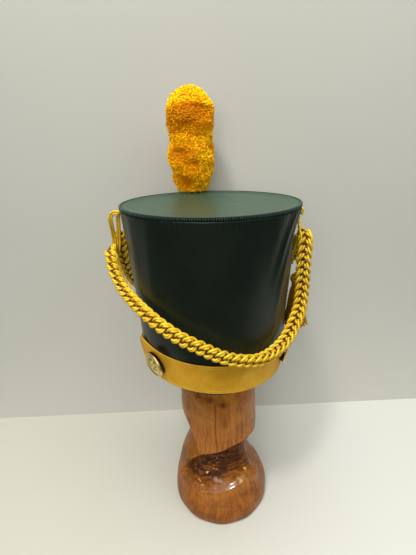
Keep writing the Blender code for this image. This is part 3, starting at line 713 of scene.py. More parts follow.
def tightened(cords, link, stiff):
    """Both cords with their bends evened out, side by side again, and every link nearer its length.

    Stiff is the share of a point's bend past its neighbours' that is taken away; a fiftieth of it
    draws the cord straight.
    """
    bend = (along_chain(cords, 1) + along_chain(cords, -1)) / 2 - cords
    even = (np.roll(bend, -1, 1) + np.roll(bend, 1, 1)) / 2
    cords = cords + stiff * (bend - even) + stiff * 0.02 * bend
    between = cords[1] - cords[0]
    gap = np.linalg.norm(between, axis=1, keepdims=True)
    pull = 0.5 * (gap - STITCH_CORD) * between / gap / 2
    cords = cords + np.stack([pull, -pull])
    for first in (0, 1):
        here = np.arange(first, STITCH_POINTS, 2)
        between = along_chain(cords, 1)[:, here] - cords[:, here]
        gap = np.linalg.norm(between, axis=2, keepdims=True)
        pull = 0.4 * (gap - link) * between / gap
        cords[:, here] += pull
        cords[:, (here + 1) % STITCH_POINTS] -= pull
    return cords


def relaxed_stitch():
    """The stops of one stitch of two cords, pulled tight: along, across and out, in millimetres.

    Each turn tightens the cords, pushes apart what overlaps in the row of stitches, and draws what
    leaves the envelope back into it.  A point and its own cord's next ones are never an overlap.
    The result is a sum of seven waves, read off at twelve places.  Both are rounded, so that the braid
    comes out the same on any machine.  It all takes about half a minute.
    """
    cords = laid_stitch()
    link = STITCH_LENGTH / STITCH_POINTS
    inside = np.array(STITCH_ENVELOPE) - STITCH_CORD / 2
    index, images = np.arange(STITCH_POINTS), np.arange(-2, 3)
    shape = (len(images), 2, STITCH_POINTS)
    place = np.broadcast_to(index + STITCH_POINTS * images[:, None, None], shape).ravel()
    cord_of = np.broadcast_to(np.arange(2)[:, None], shape).ravel()
    own = ((np.abs(index[:, None] - place) < np.ceil(1.35 * STITCH_CORD / link))
           & (cord_of == np.arange(2)[:, None, None]))
    shifts = STITCH_PITCH * images[:, None, None, None] * (1.0, 0.0, 0.0)
    for turn in range(STITCH_TURNS):
        cords = tightened(cords, link, 0.35 if turn < 0.75 * STITCH_TURNS else 0.2)
        between = cords[:, :, None] - (cords + shifts).reshape(-1, 3)
        gap = np.maximum(np.where(own, 1e9, np.linalg.norm(between, axis=3)), 1e-6)
        overlap = np.maximum(0.0, STITCH_CORD - gap)
        touching = np.maximum(1, (overlap > 0).sum(2))[..., None]
        cords = cords + 0.25 * ((overlap / gap)[..., None] * between).sum(2) / np.sqrt(touching)
        cords[..., 2] -= (cords[..., 2].max() + cords[..., 2].min()) * 0.01
        cords[..., 1] -= cords[..., 1].mean() * 0.02
        out = np.linalg.norm(cords[..., 1:] / inside, axis=2)
        cords[..., 1:] *= np.where(out > 1, 1 + (1 / np.maximum(out, 1e-9) - 1) * 0.3, 1.0)[..., None]
    cords[..., 1:] -= (cords[..., 1:].max(axis=(0, 1)) + cords[..., 1:].min(axis=(0, 1))) / 2
    cords[..., 0] -= STITCH_PITCH * index / STITCH_POINTS
    waves = np.fft.rfft(cords, axis=1)[:, :7] / STITCH_POINTS
    waves[:, 1:] *= 2
    wheel = np.exp(2j * np.pi * np.outer(np.arange(12) / 12, np.arange(7)))
    return np.round((wheel @ np.round(waves, 2)).real, 1)


def chain_braid(name, route, stitch, finish, node, roll):
    """A chain braid of doubled cord along a route, worked from its far end.

    Both cords follow the stitch over and over, on the sum of waves that passes through its stops, and
    lie closer and plumper from the middle of the run on.  Across and out are laid on the route's own
    frame: out is the tangent crossed with the hat's outward direction, turned by roll degrees.  Towards
    both ends the stitches draw in, and the last ones close up on the route's end.  The shade grows
    towards the braid's middle.
    """
    line = route_line(route)[::-1]
    tangent, run = along(line)
    length = run[-1]
    outward = unit(line * (1.0, 1.0, 0.0))
    outward = square_to(outward, tangent)
    upward = np.cross(tangent, outward)
    lean = np.radians(np.interp(run / length, *np.array(roll).T))
    out = upward * np.cos(lean)[:, None] + outward * np.sin(lean)[:, None]
    across = np.cross(out, tangent)
    local = np.interp(run / length, *np.array(STITCH_PITCHES).T) * MM
    worked = np.concatenate([[0.0], np.cumsum(np.diff(run) * 2 / (local[1:] + local[:-1]))])
    stitches = round(worked[-1])
    worked *= stitches / worked[-1]
    t = np.linspace(-0.6, stitches - 0.2, 50 * stitches)
    stretch = np.interp(t, worked, local) / (STITCH_PITCH * MM)
    middle = np.interp(t, worked, run)
    middle = middle + np.minimum(t, 0) * local[0] + np.maximum(t - stitches, 0) * local[-1]
    plump = smooth(0.34, 0.48, t / stitches)
    close = 0.09 + 0.08 * plump
    places = []
    for stops in stitch:
        waves = np.fft.rfft(stops, axis=0) / len(stops)
        waves[1:-1] *= 2
        wheel = np.exp(1j * math.tau * np.outer(t, np.arange(len(waves))))
        places.append((wheel @ waves).real.T * MM)
    strands, frames = [], []
    for own, other in (places, places[::-1]):
        place_l, place_a, place_o = own * (1 - close) + other * close
        at = middle + stretch * place_l
        soft = 0.004
        at = soft * np.logaddexp(0.0, at / soft)
        at = length - soft * np.logaddexp(0.0, (length - at) / soft)
        draw = 0.78 + 0.22 * smooth(0.0, 0.010, np.minimum(at, length - at))
        here, side, up = (at_run(values, run, at) for values in (line, across, out))
        strands.append(here + (1.20 * draw * place_a)[:, None] * unit(side)
                       + (1.24 * draw * place_o)[:, None] * unit(up))
        frames.append((here, unit(side), unit(up)))
    one, two = strands
    rings = [tube(strand, (1.50 + 0.22 * plump) * MM, 12, partner - strand, 2, 0.014, 0.05)
             for strand, partner in ((one, two), (two, one))]
    grids = [surface(ring, ring=True, caps=True, size=(0.0099, 0.064 * stitches)) for ring in rings]
    # Painted shade: darker the nearer a point of a cord lies to the braid's middle, in its crevices.
    shade = []
    for ring, (here, side, up) in zip(rings, frames):
        apart = ring - here[:, None]
        wide, high = (apart * side[:, None]).sum(-1), (apart * up[:, None]).sum(-1)
        shade.append(1 - smooth(0.50, 0.98, np.hypot(wide / (7.8 * MM), high / (6.6 * MM))))
    made = piece(name, grids, finish, [node], shade)
    return made


def plain_cord(name, route, finish, node, doubled=False, thin=1.0):
    """A twisted three-strand cord along a route, or two fine cords side by side in the loop's plane."""
    line = route_line(route, 0.0006)
    tangent, run = along(line)
    outward = line * (1.0, 1.0, 0.0)
    radius = CORD_DIAMETER / 2 * (1 - 0.25 * (1 - smooth(0.0, 0.002, np.minimum(run, run[-1] - run))))
    around = np.cross((0.0, 0.0, 1.0), outward)
    if doubled:
        apart = 1.40 * MM * unit(np.cross(tangent, unit(around)))
        strands = [line + apart, line - apart]
        rings = [tube(strand, radius * 0.68, 12, around, 3, 0.010, 0.15) for strand in strands]
    else:
        rings = [tube(line, radius * thin, 18, around, 3, 0.016, 0.20)]
    made = piece(name, [surface(ring, ring=True, caps=True, size=(0.0132, run[-1])) for ring in rings],
                 finish, [node])
    return made


def knot(name, place, finish, node, tall=1.0):
    """A small overhand knot: a trefoil (2 + cos 3t) round its middle, pulled tight."""
    t = np.linspace(0, math.tau, 121)
    ring = 1.35 * MM
    path = around_axis(2 + 0.75 * np.cos(3 * t), 2 * t, 0.95 * np.sin(3 * t)) * MM * (0.95, 0.95, 1.0)
    out = unit(hat_point(place[0], 1.0, 0.0))
    frame_of = np.stack([np.cross((0.0, 0.0, 1.0), out), (0.0, 0.0, tall), out])
    path = hat_point(*place) + path @ frame_of
    path[-1] = path[0]
    rings = tube(path[:-1], ring, 12, path[:-1] - hat_point(*place) + out * MM, 3, 0.008, 0.12)
    return piece(name, [surface(rings, ring=True, loop=True, size=(0.0085, 0.05))], finish,
                 [node])


# ------------------------------------------------------------------ the crown
def cloth_relief(angle, rise):
    """How far the cloth stands off its plain cone: slanted folds, gathers under the rim, slow waves.

    A fold is a bell curve round a line whose angle passes from one value to another with depth.
    The gathers are a wave round the rim of uneven height that dies away over 8 mm.
    """
    depth = 1 - rise / CROWN_HEIGHT
    relief = np.zeros(np.broadcast(angle, rise).shape)
    for rim, low, fade, half, height, start, end in FOLDS:
        line = low + (rim - low) * np.exp(-np.clip(depth, 0, None) / fade)
        apart = wrapped(angle - line)
        shown = smooth(start - 0.06, start + 0.06, depth) * (1 - smooth(end - 0.25, end, depth))
        relief += height * MM * bell(apart, 0.0, half) * shown
    turn = np.radians(angle)
    gather = np.sin(118 * turn + 1.6 * np.sin(5 * turn)) + 0.8 * np.sin(161 * turn + 2 * np.sin(3 * turn))
    uneven = 0.7 + 0.4 * np.sin(9 * turn + 1.0) + 0.4 * bell(angle, 62, 25)
    relief += 0.34 * MM * gather * uneven * np.exp(-depth * CROWN_HEIGHT / 0.008)
    slow = np.sin(3 * turn + 5 * depth) + 0.8 * np.sin(7 * turn - 9 * depth + 1.0)
    slow += 0.5 * np.sin(13 * turn + 14 * depth)
    return relief + 0.16 * MM * slow * smooth(0.0, 0.2, depth) * smooth(0.0, 0.25, 1 - depth)


def ring_section(section, columns, relief):
    """A closed ring round the crown from a closed section of (rise, standing off) rows."""
    angle = np.linspace(0, 360, columns, endpoint=False)[None, :]
    rise, off = (np.array(column)[:, None] for column in zip(*section))
    reach = crown_radius(rise) + off + relief(angle, rise, off)
    return dipped(hat_point(angle, reach, HEM_HEIGHT + rise))


def crown(cloth):
    """The crown's wall: an outer skin with its folds and a plain inner skin, closed at both edges."""
    top = CROWN_HEIGHT - RIM_DEPTH
    down = np.concatenate([np.linspace(top, top - 0.012, 16), np.linspace(top - 0.0135, BAND_HEIGHT, 56),
                           np.linspace(BAND_HEIGHT - 0.003, -HEM_SHOWING, 6)])
    section = [(rise, 0.0) for rise in down] + [(-HEM_SHOWING - 0.0002, -0.0010)]
    section += [(rise, -CLOTH_WALL) for rise in np.linspace(-HEM_SHOWING, top, 8)]

    def relief(angle, rise, off):
        """The folds, above the band only; the inner skin follows where they sink in."""
        seated = smooth(BAND_HEIGHT - 0.004, BAND_HEIGHT + 0.012, rise)
        stands = cloth_relief(angle, rise) * seated
        return np.where(off > -0.0005, stands, np.minimum(stands, 0.0))
    points = ring_section(section, 640, relief)
    turn = np.linspace(0, 360, 640, endpoint=False)[None, :]
    shown = bell(turn, 348, 18) + 0.5 * bell(turn, 60, 10)
    points[..., 2] -= 0.0016 * shown * (np.array(section)[:, :1] < 0.001)
    return piece("crown_cloth", [surface(points, ring=True, loop=True)], cloth,
                 ["crown_shell"])


def top_plate(cloth):
    """The dished top: rings of even steps, z falling with 1 - r^2, slow waves and a puckered edge."""
    outer = RIM_RADIUS - WELT_WIDTH - GAP
    share = np.concatenate([[0.0005], np.linspace(0.02, 1.0, 50)])[:, None]
    angle = np.linspace(0, 360, 240, endpoint=False)[None, :]
    turn = np.radians(angle)
    over = HEM_HEIGHT + CROWN_HEIGHT - RIM_DEPTH + GAP + CLOTH_WALL
    wave = 0.20 * np.sin(2 * turn + 3 * share) + 0.14 * np.sin(3 * turn - 4 * share + 1.0)
    pucker = 0.10 * np.sin(84 * turn + 2 * np.sin(4 * turn)) * smooth(0.90, 1.0, share)
    lift = 1.7 * MM * smooth(0.90, 0.995, share)
    height = over - PLATE_SAG * (1 - share ** 2) + (wave * share * (1 - share) * 3 + pucker) * MM + lift
    upper = hat_point(angle, outer * share, height)
    lower = hat_point(angle, outer * share[::-1], height[::-1] - CLOTH_WALL - lift[::-1])
    points = np.concatenate([upper, lower])
    return piece("top_cloth", [surface(points, ring=True, loop=True, flip=True)], cloth,
                 ["crown_top"])


def rim(dull, waxed):
    """The welt round the top, and the whipped stitches that bind it.

    A stitch is an arc over the welt's edge, leaning a little, one every 2.6 mm.
    """
    middle = RIM_RADIUS - WELT_WIDTH / 2 + 0.0002
    turn = np.linspace(0, math.tau, 14, endpoint=False)
    foot, top = CROWN_HEIGHT - RIM_DEPTH + GAP, CROWN_HEIGHT
    rise = (foot + top) / 2 + (top - foot) / 2 * np.sign(np.sin(turn)) * np.abs(np.sin(turn)) ** 0.6
    reach = middle + WELT_WIDTH / 2 * np.sign(np.cos(turn)) * np.abs(np.cos(turn)) ** 0.6
    angle = np.linspace(0, 360, 540, endpoint=False)[None, :]
    pulled = 0.12 * MM * np.cos(np.radians(angle) * 270)
    ring = hat_point(angle, reach[:, None] + pulled, HEM_HEIGHT + rise[:, None])
    stitches = 270
    number = np.arange(stitches)[:, None]
    start = number * 360 / stitches + 0.1 * np.sin(number * 2.4)
    over = np.linspace(0.0, 1.0, 8)[None, :]
    bend = np.radians(200 - 235 * over)
    out = WELT_WIDTH / 2 * 1.08 * np.sign(np.cos(bend)) * np.abs(np.cos(bend)) ** 0.6
    up = (top - foot) / 2 * 1.08 * np.sign(np.sin(bend)) * np.abs(np.sin(bend)) ** 0.6
    lean = start + 0.55 * over
    path = hat_point(lean, middle + out, HEM_HEIGHT + (foot + top) / 2 + up)
    tangent = unit(np.gradient(path, axis=1))
    side = hat_point(lean + 90.0, 1.0, 0.0)
    side = square_to(side, tangent)
    rings = rings_round(path, side, np.cross(tangent, side), 0.34 * MM, 6)
    piece("rim_welt_cloth", [surface(ring, ring=True, loop=True)], dull, ["rim_welt"])
    piece("rim_stitches", [surface(rings, ring=True, caps=True)], waxed)


def band(gold):
    """The gold band: two pressed lines along it, soft waves, and a loose end beside the left boss.

    Past the loose end its upper edge droops, by a share of its height that passes smoothly on and off.
    """
    rises = np.concatenate([np.linspace(BAND_HEIGHT, BAND_HEIGHT - 0.005, 22),
                            np.linspace(BAND_HEIGHT - 0.006, 0.008, 16), np.linspace(0.0072, 0.0, 26)])
    line = (0.30 * bell(rises, BAND_HEIGHT - 0.0030, 0.00045)
            + 0.26 * bell(rises, 0.0040, 0.00045)) * MM
    edge = 0.35 * MM * (smooth(0.0008, 0.0, rises) + smooth(BAND_HEIGHT - 0.0008, BAND_HEIGHT, rises))
    outer = GAP + BAND_WALL - line - edge
    section = list(zip(rises, outer)) + [(rise, GAP) for rise in np.linspace(0.0, BAND_HEIGHT, 6)]

    def relief(angle, rise, off):
        """Loose between the left boss and the front, wavy over its height; a slow wave elsewhere."""
        share = rise / BAND_HEIGHT
        loose = bell(angle, 277, 10)
        pucker = np.sin(np.radians(angle) * 31 + 4 * share) * np.sin(math.pi * share) ** 0.5
        slow = 0.12 * np.sin(np.radians(angle) * 5 + 2 * share) + 0.10 * np.sin(np.radians(angle) * 11)
        return MM * (loose * (0.4 + 2.0 * share + 0.9 * pucker) + (0.15 + slow) * (off > 0.001))
    points = ring_section(section, 360, relief)
    degrees = np.linspace(0, 360, 360, endpoint=False)[None, :]
    droop = 0.43 * (1 - smooth(269, 280, degrees)) * smooth(228, 246, degrees)
    share = (points[..., 2] - points[..., 2].min(axis=0)) / BAND_HEIGHT
    points[..., 2] -= BAND_HEIGHT * droop * share ** 1.5
    return piece("band_leather", [surface(points, ring=True, loop=True)], gold,
                 ["gold_band"])


def boss(name, angle, finish, lean, swing, lift):
    """A round boss: a dome with eight petals round an eye, a beaded ring and a raised rim.

    Its height is a sum of smooth steps and waves of the radius and of the turn.  It looks down by the
    lean and aside by the swing, in degrees, and sits over the band's middle by the lift.  Its edge and
    back are painted near black: painted shade in the gap behind it.
    """
    radius = BOSS_RADIUS
    share = np.linspace(0.003, 1.0, 46)[:, None]
    turn = np.linspace(0, math.tau, 128, endpoint=False)[None, :]
    petal = np.abs(np.cos(4 * turn)) ** 0.7 * np.sin(math.pi * np.clip((share - 0.16) / 0.50, 0, 1)) ** 0.7
    vein = np.exp(-(np.sin(4 * turn + math.pi / 2) / 0.10) ** 2) * smooth(0.2, 0.3, share)
    vein = vein * (1 - smooth(0.55, 0.68, share))
    eye = np.sqrt(np.clip(1 - (share / 0.17) ** 2, 0, 1))
    beads = np.clip(np.cos(32 * turn), 0, 1) * bell(share, 0.755, 0.030)
    rim_up = bell(share, 0.915, 0.055)
    rope = 0.18 * np.cos(44 * turn + 60 * share) * bell(share, 0.915, 0.04)
    dome = 1.9 * (1 - share ** 2)
    high = (dome + 1.0 * petal - 0.35 * vein + 0.9 * eye + 0.55 * beads + 1.25 * rim_up + rope) * MM
    face = around_axis(radius * share, turn,
                       BOSS_STANDOFF + 0.0008 + high * (1 - smooth(0.96, 1.0, share)))
    rows = [(1.0, 0.0), (0.985, -0.0006), (0.955, -0.0010), (0.93, -BOSS_STANDOFF), (0.003, -BOSS_STANDOFF)]
    back = np.stack([around_axis(radius * reach, turn[0], BOSS_STANDOFF + low) for reach, low in rows])
    points = np.concatenate([face, back])
    rise = BAND_HEIGHT / 2 + lift
    off = GAP + BAND_WALL
    seat = dipped(hat_point(angle, crown_radius(rise) + off, HEM_HEIGHT + rise))
    above = dipped(hat_point(angle, crown_radius(BAND_HEIGHT) + off, HEM_HEIGHT + BAND_HEIGHT))
    sideways = hat_point(angle + 90.0, 1.0, 0.0)
    outward = unit(np.cross(sideways, unit(above - seat)))
    outward *= np.sign(outward @ hat_point(angle, 1.0, 0.0))
    upward = np.cross(outward, sideways)
    upward *= np.sign(upward[2])
    tip, aside = math.radians(lean), math.radians(swing)
    outward = unit(outward * math.cos(tip) - upward * math.sin(tip) + sideways * math.tan(aside))
    upward = unit(upward - (upward @ outward) * outward)
    frame_of = np.stack([np.cross(upward, outward), upward, outward])
    points = seat + outward * (GAP + radius * 0.55 * math.sin(tip)) + points @ frame_of
    # Painted shade on the boss's edge and back.
    edge = np.concatenate([np.zeros(face.shape[:2]), np.ones(back.shape[:2])])
    return piece(name + "_face", [surface(points, ring=True, caps=True, flip=True)], finish,
                 [name], [edge])


def peak(cloth):
    """The peak: a crescent whose depth is (1 - along^2)^0.75, cambered, with a rounded turned edge."""
    along_it = np.sin(np.linspace(-math.pi / 2, math.pi / 2, 161))[None, :] * 0.9999
    over = np.concatenate([np.linspace(0, 1, 34), np.linspace(1, 0, 34)])[:, None]
    under = np.concatenate([np.zeros(34), np.ones(34)])[:, None]
    depth = PEAK_DEPTH * (1 - along_it ** 2) ** 0.75
    bead = 0.45 * MM * bell(over, 0.965, 0.018) * np.sign(0.5 - under)
    inner = crown_radius(0.0) - CLOTH_WALL
    out = 0.0030 * np.minimum(1.0, over / 0.2) + depth * np.maximum(0.0, (over - 0.2) / 0.8)
    fall = math.tan(math.radians(PEAK_SLOPE)) * depth * np.maximum(0.0, (over - 0.2) / 0.8) ** 1.15
    thin = PEAK_WALL * (1 - 0.5 * smooth(0.97, 1.0, over))
    angle = 180.0 + along_it * PEAK_HALF_ANGLE
    foot = HEM_HEIGHT - HEM_SHOWING - GAP - PEAK_WALL
    edge = dipped(hat_point(angle, inner, foot))[..., 2]
    height = edge - fall + PEAK_WALL - (under * thin + (1 - under) * (PEAK_WALL - thin)) + bead
    points = hat_point(angle, inner + out, height)
    return piece("peak_cloth", [surface(points, loop=True, flip=True)], cloth, ["peak"])


# ------------------------------------------------------------------ plume and tassel
def plume(yarn):
    """The plume: a lumpy brush on its stem, covered in small loops of yarn.

    A loop is an arch on the brush's skin: its foot is spread by the golden angle over equal areas, and
    its path is a half circle leaning a random way.  The shade is painted shade among the yarn, a sum of
    bell curves, one a hollow, raised everywhere below the lit cap; low down on both sides it is broken
    up, so that loops with painted highlights and darker loops mix.
    """
    foot = dipped(hat_point(180.0, crown_radius(CROWN_HEIGHT) + PLUME_AXIS, HEM_HEIGHT + CROWN_HEIGHT))
    heights, radii = np.array(PLUME_ROWS[::-1]).T

    def hollow(turn, height):
        """How deep among the yarn a place lies, 0 to 1: it sinks the skin and is the painted shade."""
        deep = np.zeros(np.broadcast(turn, height).shape)
        for angle, level, wide, tall, dark in PLUME_SHADED_HOLLOWS:
            apart = wrapped(np.degrees(turn) - angle)
            deep += dark * np.exp(-(apart / wide) ** 2 - ((height - level) / tall) ** 2)
        deep += 0.15 * np.sin(9 * turn + 300 * height) * np.sin(7 * turn - 210 * height)
        # Painted shade everywhere below the cap, which is left lit.
        return np.clip(deep + 0.20 * (1 - smooth(0.114, 0.124, height)), 0, 1)

    def skin(turn, height):
        """The brush's radius at a turn and a height, with lumps."""
        lump = np.sin(3 * turn + 160 * height) + 0.8 * np.sin(5 * turn - 230 * height + 1.0)
        lump = lump + 0.7 * np.sin(2 * turn + 90 * height + 2.0)
        lump = lump + 0.6 * np.sin(13 * turn + 420 * height) * np.sin(11 * turn - 380 * height)
        return np.interp(height, heights, radii) * (0.985 + 0.020 * lump) - 0.0042 * hollow(turn, height)
    turn = np.linspace(0, math.tau, 72, endpoint=False)[None, :]
    height = np.linspace(heights[0], heights[-1] - 0.0004, 90)[:, None]
    rough = 0.0006 * np.sin(31 * turn + 900 * height) * np.sin(17 * turn - 1100 * height)
    reach = skin(turn, height) * 0.945 + rough
    stem_rows = np.array([(0.0024, -0.030), (0.0028, -0.0298), (0.0028, 0.004)])
    stem = around_axis(stem_rows[:, :1], np.linspace(0, math.tau, 20, endpoint=False), stem_rows[:, 1:])
    grids = [surface(foot + points, ring=True, caps=True, size=(1.0, 0.0))
             for points in (around_axis(reach, turn, height), stem)]
    # Painted shade on the core between the loops, and full shade on the stem.
    piece("plume_core", grids, yarn, ["plume"],
          [0.10 + 0.90 * hollow(turn, height), np.ones(60)])
    chance = np.random.default_rng(11)
    count = 4050
    for number in (1, 2):
        area = np.cumsum(np.interp(np.linspace(heights[0], heights[-1], 400), heights, radii) + 0.004)
        pick = (np.arange(count) + chance.random(count)) / count
        level = np.interp(pick, area / area[-1], np.linspace(heights[0], heights[-1], 400))
        around = np.arange(count) * GOLDEN_ANGLE + number
        base = skin(around, level)
        slope = (skin(around, level + 0.001) - skin(around, level - 0.001)) / 0.002
        normal = unit(around_axis(1.0, around, -np.clip(slope, -3, 3)))
        round_way = np.stack([-np.sin(around), np.cos(around), 0 * around], axis=-1)
        up_way = np.cross(normal, round_way)
        where = foot + around_axis(base * 0.955, around, level)
        spin = chance.random(count) * math.tau
        way = np.cos(spin)[:, None] * round_way + np.sin(spin)[:, None] * up_way
        lean = (chance.random((count, 3)) - 0.5) * 1.3
        wide = (1.0 + 1.3 * chance.random(count)) * MM
        tall = (1.3 + 2.2 * chance.random(count) ** 1.5) * MM
        bend = np.linspace(0, math.pi, 6)[None, :, None]
        path = where[:, None] - np.cos(bend) * (wide[:, None] * way)[:, None]
        path = path + np.sin(bend) * (tall[:, None] * unit(normal + lean))[:, None]
        tangent = unit(np.gradient(path, axis=1))
        side = unit(np.cross(tangent, way[:, None] * 0.3 + lean[:, None] + 0.01))
        thick = (0.58 * MM * (0.75 + 0.5 * chance.random(count)))[:, None, None, None]
        grid = surface(rings_round(path, side, np.cross(tangent, side), thick, 3), ring=True, caps=True)
        uvs = grid[1][0][1]
        # The loop's tip coordinate, 0 at its feet and 1 at its top, which the finish paints lighter.
        uvs[..., 1] = np.sin(math.pi * uvs[..., 1])
        # Painted shade on each loop; in two bands low down, painted highlights on a share of the loops and
        # more painted shade on the rest.
        deep = hollow(around, level) + 0.35 * (chance.random(count) - 0.5)
        painted_glint_band = sum(np.exp(-wrapped(np.degrees(around) - angle) ** 2 / 38.0 ** 2)
                     for angle in (118.0, 305.0)) * (1 - smooth(0.058, 0.076, level))
        deep = np.clip(deep + painted_glint_band * np.where(chance.random(count) < 0.38, -0.9, 0.25), 0, 1)
        piece("plume_loops_%d" % number, [grid], yarn, (), [np.repeat(deep, 18)])


def tassel(cord_finish):
    """The tassel: a plaited head, a tight collar and a skirt of twisted strings, with painted shade.

    The head is a ball whose radius is raised by two crossed spiral waves.  Each string hangs from the
    collar and spreads with the square root of its run, with a slow sway of its own.
    """
    top = hat_point(*TASSEL_TOP)
    turn = np.linspace(0, math.tau, 96, endpoint=False)[None, :]
    down = np.linspace(0.01, 1.0, 70)[:, None]
    rows = np.array([(0.0, 0.0), (0.06, 0.42), (0.30, 0.95), (0.52, 1.0), (0.78, 0.84), (1.0, 0.62)])
    reach = np.interp(down, rows[:, 0], rows[:, 1]) * 0.0096
    plait = np.maximum(np.sin(6 * turn + 15 * down), np.sin(6 * turn - 15 * down))
    reach = reach + 0.0007 * plait * np.sin(math.pi * down) ** 0.5
    head = around_axis(reach, turn, -0.0195 * down)
    grids = [surface(top + head, ring=True, caps=True, flip=True, size=(0.06, 0.02))]
    wind = np.linspace(0, math.tau * 4, 200)
    collar = around_axis(0.0074, wind, -0.0180 - 0.0008 * wind / math.tau)
    grids.append(surface(tube(top + collar, 0.62 * MM, 8, np.array((0.0, 0.0, 1.0))), ring=True,
                         caps=True, size=(0.004, 0.18)))
    chance = np.random.default_rng(5)
    count = 150
    around = np.arange(count) * GOLDEN_ANGLE
    inner = np.sqrt((np.arange(count) + 0.5) / count)
    run = np.linspace(0, 1, 16)[None, :]
    sway = 0.0006 * np.sin(run * (3 + 3 * chance.random((count, 1))) + 6 * chance.random((count, 1)))
    spread = inner[:, None] * (0.0058 + 0.0084 * np.sqrt(run) + 0.0042 * run ** 5) + sway * run
    swing = around[:, None] + 0.10 * (chance.random((count, 1)) - 0.5) * run
    low = -0.0200 - (0.0570 + 0.0016 * (chance.random((count, 1)) - 0.5)) * run
    path = around_axis(spread, swing, low) + top
    tangent = unit(np.gradient(path, axis=1))
    side = unit(np.cross(tangent, (0.3, 0.95, 0.0)))
    twist = np.linspace(0, math.tau, 6, endpoint=False) + (run * 22 + around[:, None])[..., None]
    thick = 0.78 * MM * (1 - 0.22 * np.cos(2 * twist))
    rings = rings_round(path, side, np.cross(tangent, side), thick[..., None], 6)
    grids.append(surface(rings, ring=True, caps=True, size=(0.0049, 0.058)))
    # Painted shade: strings darker on the side toward the hat and nearer the skirt's middle, the head
    # darker in its plait's valleys, and the collar under it half dark.
    inward = -unit(top * (1.0, 1.0, 0.0))
    toward = (unit(path - top * (1.0, 1.0, 0.0) - (0.0, 0.0, 1.0) * path[..., 2:]) * inward).sum(-1)
    hidden = 0.12 + 0.75 * smooth(-0.25, 0.45, toward) + 0.1 * (1 - inner[:, None] + 0 * run)
    valley_shade = 0.75 - 0.75 * np.clip(plait, 0, 1) + 0 * down
    shade = [valley_shade, np.full(200 * 8, 0.5), np.repeat(hidden.ravel(), 6)]
    return piece("tassel_threads", grids, cord_finish, ["tassel"], shade)


# ------------------------------------------------------------------ the stand
def carved_stand(wood):
    """The stand: an oval column from its table of rows, with the groove winding round it.

    Round the back the groove is a bell curve of the height over its slanting middle.  In front it is a
    scarp under the upper mass's lip, then a hollow that runs out to the ledge.  The shade is painted
    shade in the hollow and the groove, and marks the smudges.
    """
    heights, widths, depths = np.array(STAND_ROWS[::-1]).T
    turn = np.linspace(0, math.tau, 270, endpoint=False)[None, :]
    level = np.concatenate([np.linspace(0.0, 0.045, 22), np.linspace(0.046, 0.075, 50),
                            np.linspace(0.0765, STAND_TOP, 128)])[:, None]
    degrees = wrapped(np.degrees(turn))
    wide, deep = np.interp(level, heights, widths), np.interp(level, heights, depths)
    side = np.cos(turn)
    rise = level - (0.1065 - 0.0230 * side)
    behind = np.exp(-(rise / np.where(rise > 0, 0.0290 + 0.0050 * side, 0.0340)) ** 2)
    lip = np.interp(degrees, *np.array(STAND_LIP).T)
    ledge = np.interp(degrees, *np.array(STAND_LEDGE).T)
    flank = np.interp(level, *np.array(STAND_FLANK).T)
    front = smooth(flank - 9.0, flank + 1.0, degrees) * (1 - smooth(-40.0, -10.0, degrees))
    under = lip - level
    fall = np.clip((under - 0.010) / (lip - 0.010 - ledge), 0, 1)
    ahead = smooth(-0.0015, 0.0070, under) * (1 - fall) ** 0.78
    cut = (0.0195 + 0.0055 * side) * behind * (1 - front) + (0.0200 + 0.0050 * side) * ahead * front
    cut = cut + 0.0042 * front * smooth(0.0, 0.0042, level - ledge) * smooth(-0.002, 0.010, under)
    ripple = 0.0004 * np.sin(11 * turn + 60 * level) * smooth(0.0, 0.05, -rise)
    chips = 0.0007 * np.sin(23 * turn + 310 * level) * np.sin(17 * turn - 230 * level) * ahead * front
    brow = 0.0006 * front * np.exp(-((level - ledge + 0.003) / 0.0045) ** 2)
    share = (wide - cut + ripple + chips + brow) / wide
    shift = FOOT_SHIFT - 0.0028 * smooth(0.115, 0.165, level)
    points = points_of(shift + wide * share * np.cos(turn), deep * share * np.sin(turn), level)
    # Painted shade under the lip, down the hollow and round the groove, and a patch of it at the groove's
    # left end; the smudges below are marks on the wood.
    dark = front * smooth(0.0, 0.004, under) * (1 - 0.52 * smooth(0.60, 1.05, fall))
    dark = dark * (1 - smooth(-0.001, 0.004, ledge - level)) + (1 - front) * 0.6 * behind ** 2
    dark = dark + 0.8 * np.exp(-((degrees + 158) / 24) ** 2 - ((level - 0.081) / 0.013) ** 2)
    for angle, height, half in STAND_SMUDGES:
        dark = dark + 0.75 * np.exp(-((degrees - angle) / half) ** 2 - ((level - height) / 0.006) ** 2)
    spin = math.radians(STAND_TURN)
    matrix = np.array([[math.cos(spin), math.sin(spin), 0.0], [-math.sin(spin), math.cos(spin), 0.0],
                       [0.0, 0.0, 1.0]])
    return piece("stand_carved", [surface(points @ matrix, ring=True, caps=True)], wood,
                 ["stand"], [dark])


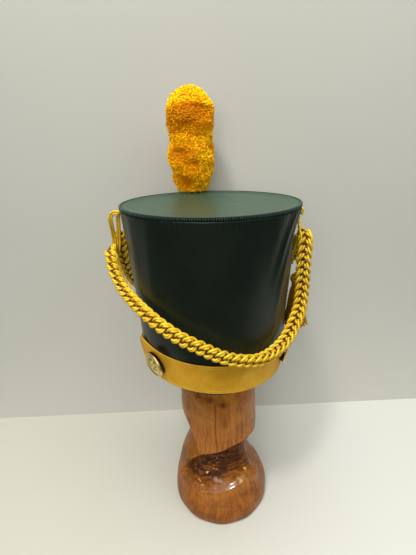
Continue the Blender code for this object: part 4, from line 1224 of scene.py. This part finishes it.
def carried_over(wood, metal):
    """The solids that stay as they are: the hidden post and the plume's socket."""
    for node, finish in (("stand_post", wood), ("plume_socket", metal)):
        made = bpy.data.objects[node]
        made.data.materials.clear()
        made.data.materials.append(finish)


# ------------------------------------------------------------------ build
def main():
    camera_and_lights()
    stage()
    bright = gold_cord("gold_cord", (0.47, 0.240, 0.007), (0.81, 0.595, 0.045))
    # Painted shade: a darker copy of the gold cord for the tassel.
    deep = gold_cord("gold_cord_painted_shade", (0.36, 0.150, 0.005), (0.76, 0.46, 0.026), 300.0)
    side_cloth = leathercloth("leathercloth_side", (0.0026, 0.0048, 0.0034), (0.0074, 0.0125, 0.0085),
                              0.31, 0.07, 0.34)
    # The top's cloth is the side's leathercloth painted lighter and greener: painted light and reflection
    # from above.
    top_cloth = leathercloth("leathercloth_top_painted_light", (0.012, 0.036, 0.020), (0.022, 0.060, 0.034), 0.36, 0.12)
    metal = brass()
    wood = varnished_wood("varnished_wood_carved", (0.7335, 0.539, 0.828))
    stitch = relaxed_stitch()
    plain_cord("loop_left_cord", LOOP_LEFT, bright, "loop_left", doubled=True)
    plain_cord("loop_right_cord", LOOP_RIGHT, bright, "loop_right", thin=0.76)
    chain_braid("braid_back_chain", BRAID_BACK, stitch, bright, "braid_back", BRAID_ROLL)
    chain_braid("braid_front_chain", BRAID_FRONT, stitch, bright, "braid_front", [(0.0, 0.0), (1.0, 0.0)])
    threads = tassel(deep)
    plain_cord("tassel_cord_twisted", TASSEL_CORD, bright, "tassel_cord")
    knot("knot_left_cord", KNOT_LEFT, bright, "knot_left")
    knot("knot_right_cord", KNOT_RIGHT, bright, "knot_right", 1.6)
    crown(side_cloth)
    top_plate(top_cloth)
    rim_cloth = leathercloth("leathercloth_rim", (0.001, 0.0025, 0.002), (0.004, 0.008, 0.006),
                             0.66, 0.0, 0.05)
    rim(rim_cloth, thread())
    band(gold_leather())
    peak(side_cloth)
    boss("boss_left", -BOSS_ANGLE, metal, 8.0, -3.0, 0.0028)
    boss("boss_right", BOSS_ANGLE, metal, 4.0, 0.0, 0.0020)
    plume(plume_yarn())
    carved_stand(wood)
    carried_over(varnished_wood(), metal)


main()
